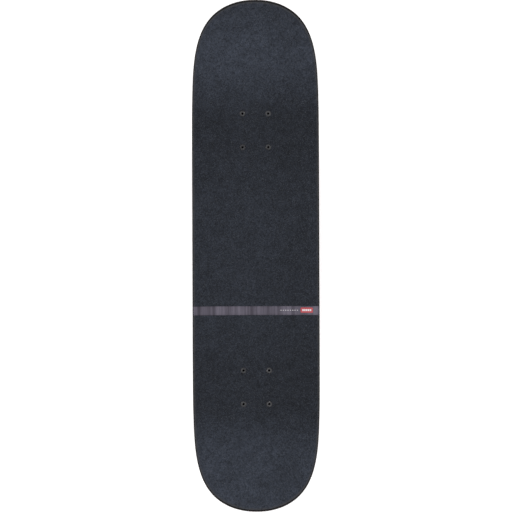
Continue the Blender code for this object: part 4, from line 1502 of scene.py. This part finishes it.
pivotCup = {
    "corners": inMm((0, 2.3), (7.7, 2.3, 1.2), (7.7, -7.1, 0.2), (7.7, -8.5, 0.4), (6.6, -8.5, 0.4),
                    (5.5, -1.0, 1), (3.6, 0.3, 0.5), (0, 0.3)),
}


def makePivotCup(name, place):
    profile = softProfile(pivotCup["corners"], 0.4 * mm, closed=False)
    return turnedPiece(name, profile, 48, False, place, 35)


axle = {
    "radius": 3.95 * mm,
    "halfLength": 101.6 * mm,
    "bevel": 0.8 * mm,
    "threadPitch": 1.06 * mm,
    "threadLength": 9.5 * mm,
}


def makeAxle(name, place):
    a = axle
    end, bevel, radius = a["halfLength"], a["bevel"], a["radius"]
    half = [(0, -end), (radius - bevel, -end), (radius, -end + bevel), (radius, -end + 12 * mm)]
    levels = half + [(reach, -height) for reach, height in reversed(half)]
    parts = [turnedPiece(name, levels, 40, False, place, 30)]
    start = Matrix.Translation((0, 0, end - 0.6 * mm - a["threadLength"]))
    for turn in (0, pi):
        threadPlace = place @ Matrix.Rotation(turn, 4, "X") @ start
        sizes = radius - 0.3 * mm, a["threadPitch"], a["threadLength"]
        parts.append(threadPiece(*sizes, threadPlace, zincMaterial))
    return joinMeshes(name, parts)


def makeTrucks():
    plateCopy, hangerCopy = makeBaseplate(), makeHanger()
    print("castings made")
    for name in ("front", "rear"):
        body = truckFrame(name)
        king = body @ kingpinFrame()
        plate = newPiece(f"{name}Baseplate", plateCopy.data.copy())
        placeMesh(plate, body)
        finishPiece(plate, "board", [f"{name}_baseplate"], castMaterial)
        arm = newPiece(f"{name}Hanger", hangerCopy.data.copy())
        placeMesh(arm, body)
        finishPiece(arm, f"{name}_truck", [f"{name}_hanger"], castMaterial)
        pin = makeKingpin(f"{name}Kingpin", king)
        finishPiece(pin, "board", [f"{name}_kingpin"], blackMaterial)
        makeKingpinStack(name, king)
        cup = makePivotCup(f"{name}PivotCup", body @ steeringFrame(truck["pivotTip"]))
        finishPiece(cup, "board", [f"{name}_pivot_cup"], cupMaterial)
        rod = makeAxle(f"{name}Axle", body @ axleFrame())
        finishPiece(rod, f"{name}_truck", [f"{name}_axle"], zincMaterial)
        print(name, "truck made")
    dropPiece(plateCopy)
    dropPiece(hangerCopy)


makeTrucks()


# Wheels and bearings. Z runs outwards along the axle, and z = 0 is the wheel's middle.

wheel = {
    "radius": 26.0 * mm,
    "halfWidth": 16.0 * mm,
    "middle": 81.5 * mm,
    "pocket": 11.25 * mm,
    "shoulder": 4.7 * mm,
    "hubBore": 8.2 * mm,
}

bearing = {
    "radius": 11.0 * mm,
    "groove": 9.6 * mm,
    "raceRadius": 6.0 * mm,
    "bore": 4.1 * mm,
    "halfWidth": 3.5 * mm,
    "offset": 8.5 * mm,
    "balls": 7,
    "ballRadius": 1.95 * mm,
    "ballCircle": 7.75 * mm,
    "shield": inMm((6.25, 3.1), (9.5, 3.1), (9.5, 3.38), (8.9, 3.42), (8.7, 3.30), (6.9, 3.30),
                   (6.7, 3.42), (6.25, 3.40)),
    "washerRadius": 5.4 * mm,
    "washerMiddle": 12.5 * mm,
    "washerHalf": 0.5 * mm,
    "spacerRadius": 5.0 * mm,
    "spacerHalf": 4.95 * mm,
}


def makeWheelTurning(name, place):
    w = wheel
    half = [
        (w["hubBore"], w["shoulder"], 0.3 * mm),
        (w["pocket"], w["shoulder"], 0.2 * mm),
        (w["pocket"], w["halfWidth"] - 2.6 * mm, 0.5 * mm),
        (13.4 * mm, w["halfWidth"] - 0.1 * mm, 1.0 * mm),
        (15.2 * mm, w["halfWidth"], 1.0 * mm),
        (16.4 * mm, w["halfWidth"] - 0.3 * mm, 0.4 * mm),
        (17.0 * mm, w["halfWidth"] - 0.9 * mm, 0.4 * mm),
        (20.6 * mm, 14.1 * mm, 2.5 * mm),
        (24.6 * mm, 12.4 * mm, 3.0 * mm),
        (w["radius"], 8.2 * mm, 2.6 * mm),
    ]
    profile = softProfile(half + [(r, -z, rounding) for r, z, rounding in reversed(half)], 0.4 * mm, steps=6)
    return turnedPiece(name, profile, 128, True, place, 40)


def makeRaces(name, place):
    # the outer race, with its groove for the balls, and a rubber shield at each side
    b = bearing
    half, groove = b["halfWidth"], b["groove"]
    outer = [(groove, half, 0.15 * mm), (b["radius"], half, 0.5 * mm), (b["radius"], -half, 0.5 * mm)]
    outer += [(groove, -half, 0.15 * mm), (groove, -1.6 * mm, 0.1 * mm), (groove + 0.35 * mm, 0, 1.2 * mm)]
    outer += [(groove, 1.6 * mm, 0.1 * mm)]
    race = turnedPiece(f"{name}Race", softProfile(outer, 0.3 * mm), 64, True, place, 40)
    race.data.materials.append(groundMaterial)
    shields = []
    for sign in (1, -1):
        profile = softProfile([(reach, sign * z) for reach, z in b["shield"]], 0.12 * mm, steps=3)
        shields.append(turnedPiece("shield", profile, 64, True, place, 40))
    shield = joinMeshes(f"{name}Shields", shields)
    shield.data.materials.append(shieldMaterial)
    return race, shield


def makeBallSource():
    shape = bmesh.new()
    bmesh.ops.create_icosphere(shape, subdivisions=2, radius=bearing["ballRadius"])
    return pieceFromShape("ball", shape)


def makeBalls(name, place):
    b = bearing
    places = []
    for step in range(b["balls"]):
        turn = 2 * pi * step / b["balls"]
        places.append((b["ballCircle"] * cos(turn), b["ballCircle"] * sin(turn), 0.0))
    balls = repeatPiece(name, makeBallSource(), places, groundMaterial)
    balls.data.shade_smooth()
    return placeMesh(balls, place)


def makeAxleStack(name, place):
    # inner races, speed washers and the spacer, clamped together on the axle
    b = bearing
    bore, race, half = b["bore"], b["raceRadius"] - 0.1 * mm, b["halfWidth"]
    pieces = []
    for sign in (1, -1):
        z = sign * b["offset"]
        inner = [(bore, z - half), (race, z - half), (race, z - 1.5 * mm), (race - 0.35 * mm, z, 1.2 * mm)]
        inner += [(race, z + 1.5 * mm), (race, z + half), (bore, z + half)]
        pieces.append(turnedPiece("innerRace", softProfile(inner, 0.3 * mm), 48, True, place, 40))
        middle, reach = sign * b["washerMiddle"], b["washerRadius"]
        low, high = middle - b["washerHalf"], middle + b["washerHalf"]
        washer = [(bore, low), (reach, low), (reach, high), (bore, high)]
        pieces.append(turnedPiece("speedWasher", softProfile(washer, 0.15 * mm), 48, True, place, 40))
    races = joinMeshes(f"{name}RacesAndWashers", pieces)
    races.data.materials.append(groundMaterial)
    reach, end = b["spacerRadius"], b["spacerHalf"]
    tube = [(bore, -end), (reach, -end), (reach, end), (bore, end)]
    spacer = turnedPiece(f"{name}Spacer", softProfile(tube, 0.3 * mm), 48, True, place, 40)
    return races, spacer


axleNut = {"width": 12.7 * mm, "height": 6.5 * mm, "start": 13.3 * mm}


def makeWheels():
    for name in ("front", "rear"):
        for label, side in (("left", 1), ("right", -1)):
            node, title = f"{name}_{label}", f"{name}{label.title()}"
            turn = Matrix.Rotation(-side * pi / 2, 4, "X")
            axleHeight = truck["underside"] - truck["axleDrop"]
            place = Matrix.Translation((truckMiddles[name], side * wheel["middle"], axleHeight)) @ turn
            roller = f"wheel_{node}"
            tyre = makeWheelTurning(f"{title}Wheel", place)
            finishPiece(tyre, roller, [f"{node}_wheel"], wheelMaterial)
            for seat, offset in (("inboard", -bearing["offset"]), ("outboard", bearing["offset"])):
                seatPlace = place @ Matrix.Translation((0, 0, offset))
                race, shield = makeRaces(f"{title}{seat.title()}", seatPlace)
                finishPiece(race, roller, [f"{node}_bearing_{seat}"])
                finishPiece(shield, roller)
                balls = makeBalls(f"{title}{seat.title()}Balls", seatPlace)
                finishPiece(balls, roller)
            races, spacer = makeAxleStack(title, place)
            finishPiece(races, f"{name}_truck", [f"{node}_axle_stack"])
            finishPiece(spacer, f"{name}_truck", (), zincMaterial)
            nutPlace = place @ Matrix.Translation((0, 0, axleNut["start"]))
            bore = axle["radius"] + 0.15 * mm
            width, height = axleNut["width"], axleNut["height"]
            nut = nutPiece(f"{title}AxleNut", width, height, bore, nutPlace)
            finishPiece(nut, f"{name}_truck", [f"{node}_axle_nut"], zincMaterial)
            collar = collarPiece(f"{title}AxleNutCollar", width, height, bore, nutPlace)
            finishPiece(collar, f"{name}_truck", (), nylonMaterial)
    print("wheels made")


makeWheels()
dropPiece(boltRow)


# Floor, light and camera

studio = {
    "floorColour": (0.92, 0.92, 0.92),
    "floorShade": (0.90, 0.90, 0.90),
    "floorReach": 12.0,
    "floorGlow": 0.45,
    "horizon": 1.02,
    "overhead": 0.78,
    "keyPower": 21.0,
    "cameraHeight": 2.17,
    "lens": 91.08,
    "cameraSpot": (0.16 * mm, -0.2 * mm),
    "roll": radians(-0.21),
}


def makeFloorMaterial():
    material, tree, shader = newMaterial("paleFloor")
    cloud = noise(tree, objectSpot(tree), 3.0, 3.0)
    patch = remap(tree, cloud, 0.3, 0.7)
    feed(tree, shader, colour=mixColour(tree, patch, studio["floorColour"], studio["floorShade"]))
    feed(tree, shader, roughness=remap(tree, cloud, 0.3, 0.7, 0.75, 0.85))
    shader.inputs["Emission Color"].default_value = (1.0, 1.0, 1.0, 1.0)
    shader.inputs["Emission Strength"].default_value = studio["floorGlow"]
    # the floor is only there from above, so that the underside can be looked at
    below = addNode(tree, "ShaderNodeNewGeometry").outputs["Backfacing"]
    clear = addNode(tree, "ShaderNodeBsdfTransparent").outputs[0]
    oneSided = addNode(tree, "ShaderNodeMixShader", {0: below, 1: shader.outputs[0], 2: clear}).outputs[0]
    tree.links.new(oneSided, tree.nodes["Material Output"].inputs["Surface"])
    return material


def makeFloor():
    mesh = bpy.data.meshes.new("floor")
    reach = studio["floorReach"]
    corners = [(x * reach, y * reach, 0) for x, y in ((-1, -1), (1, -1), (1, 1), (-1, 1))]
    mesh.from_pydata(corners, [], [(0, 1, 2, 3)])
    mesh.materials.append(makeFloorMaterial())
    floor = newPiece("floor", mesh)
    floor.location.z = -0.1 * mm


def addSoftbox(name, spot, size, power):
    light = bpy.data.lights.new(name, "AREA")
    light.shape = "RECTANGLE"
    light.size, light.size_y = size
    light.energy = power
    box = bpy.data.objects.new(name, light)
    box.location = spot
    box.rotation_euler = (Vector((0, 0, 0.09)) - Vector(spot)).to_track_quat("-Z", "Y").to_euler()
    bpy.context.scene.collection.objects.link(box)


def makeStudio():
    makeFloor()
    world = bpy.data.worlds.new("softSky")
    world.use_nodes = True
    # bright at the horizon, where it meets the floor, and softer overhead
    tree = world.node_tree
    aim = addNode(tree, "ShaderNodeTexCoord").outputs["Generated"]
    height = addNode(tree, "ShaderNodeSeparateXYZ", {0: aim}).outputs[2]
    strength = remap(tree, height, 0.02, 0.40, studio["horizon"], studio["overhead"])
    tree.links.new(strength, tree.nodes["Background"].inputs["Strength"])
    tree.nodes["Background"].inputs["Color"].default_value = (1.0, 1.0, 1.0, 1.0)
    bpy.context.scene.world = world
    addSoftbox("keyLight", (1.2, 1.6, 2.6), (1.6, 1.6), studio["keyPower"])
    addSoftbox("fillLight", (-1.6, -1.2, 2.4), (1.8, 1.8), studio["keyPower"] * 0.8)
    lens = bpy.data.cameras.new("camera")
    lens.lens = studio["lens"]
    lens.clip_end = 100
    camera = bpy.data.objects.new("camera", lens)
    camera.location = (*studio["cameraSpot"], studio["cameraHeight"])
    camera.rotation_euler = (0, 0, -pi / 2 + studio["roll"])
    bpy.context.scene.collection.objects.link(camera)
    bpy.context.scene.camera = camera
    bpy.context.scene.view_settings.view_transform = "Standard"


makeStudio()
print("studio made")
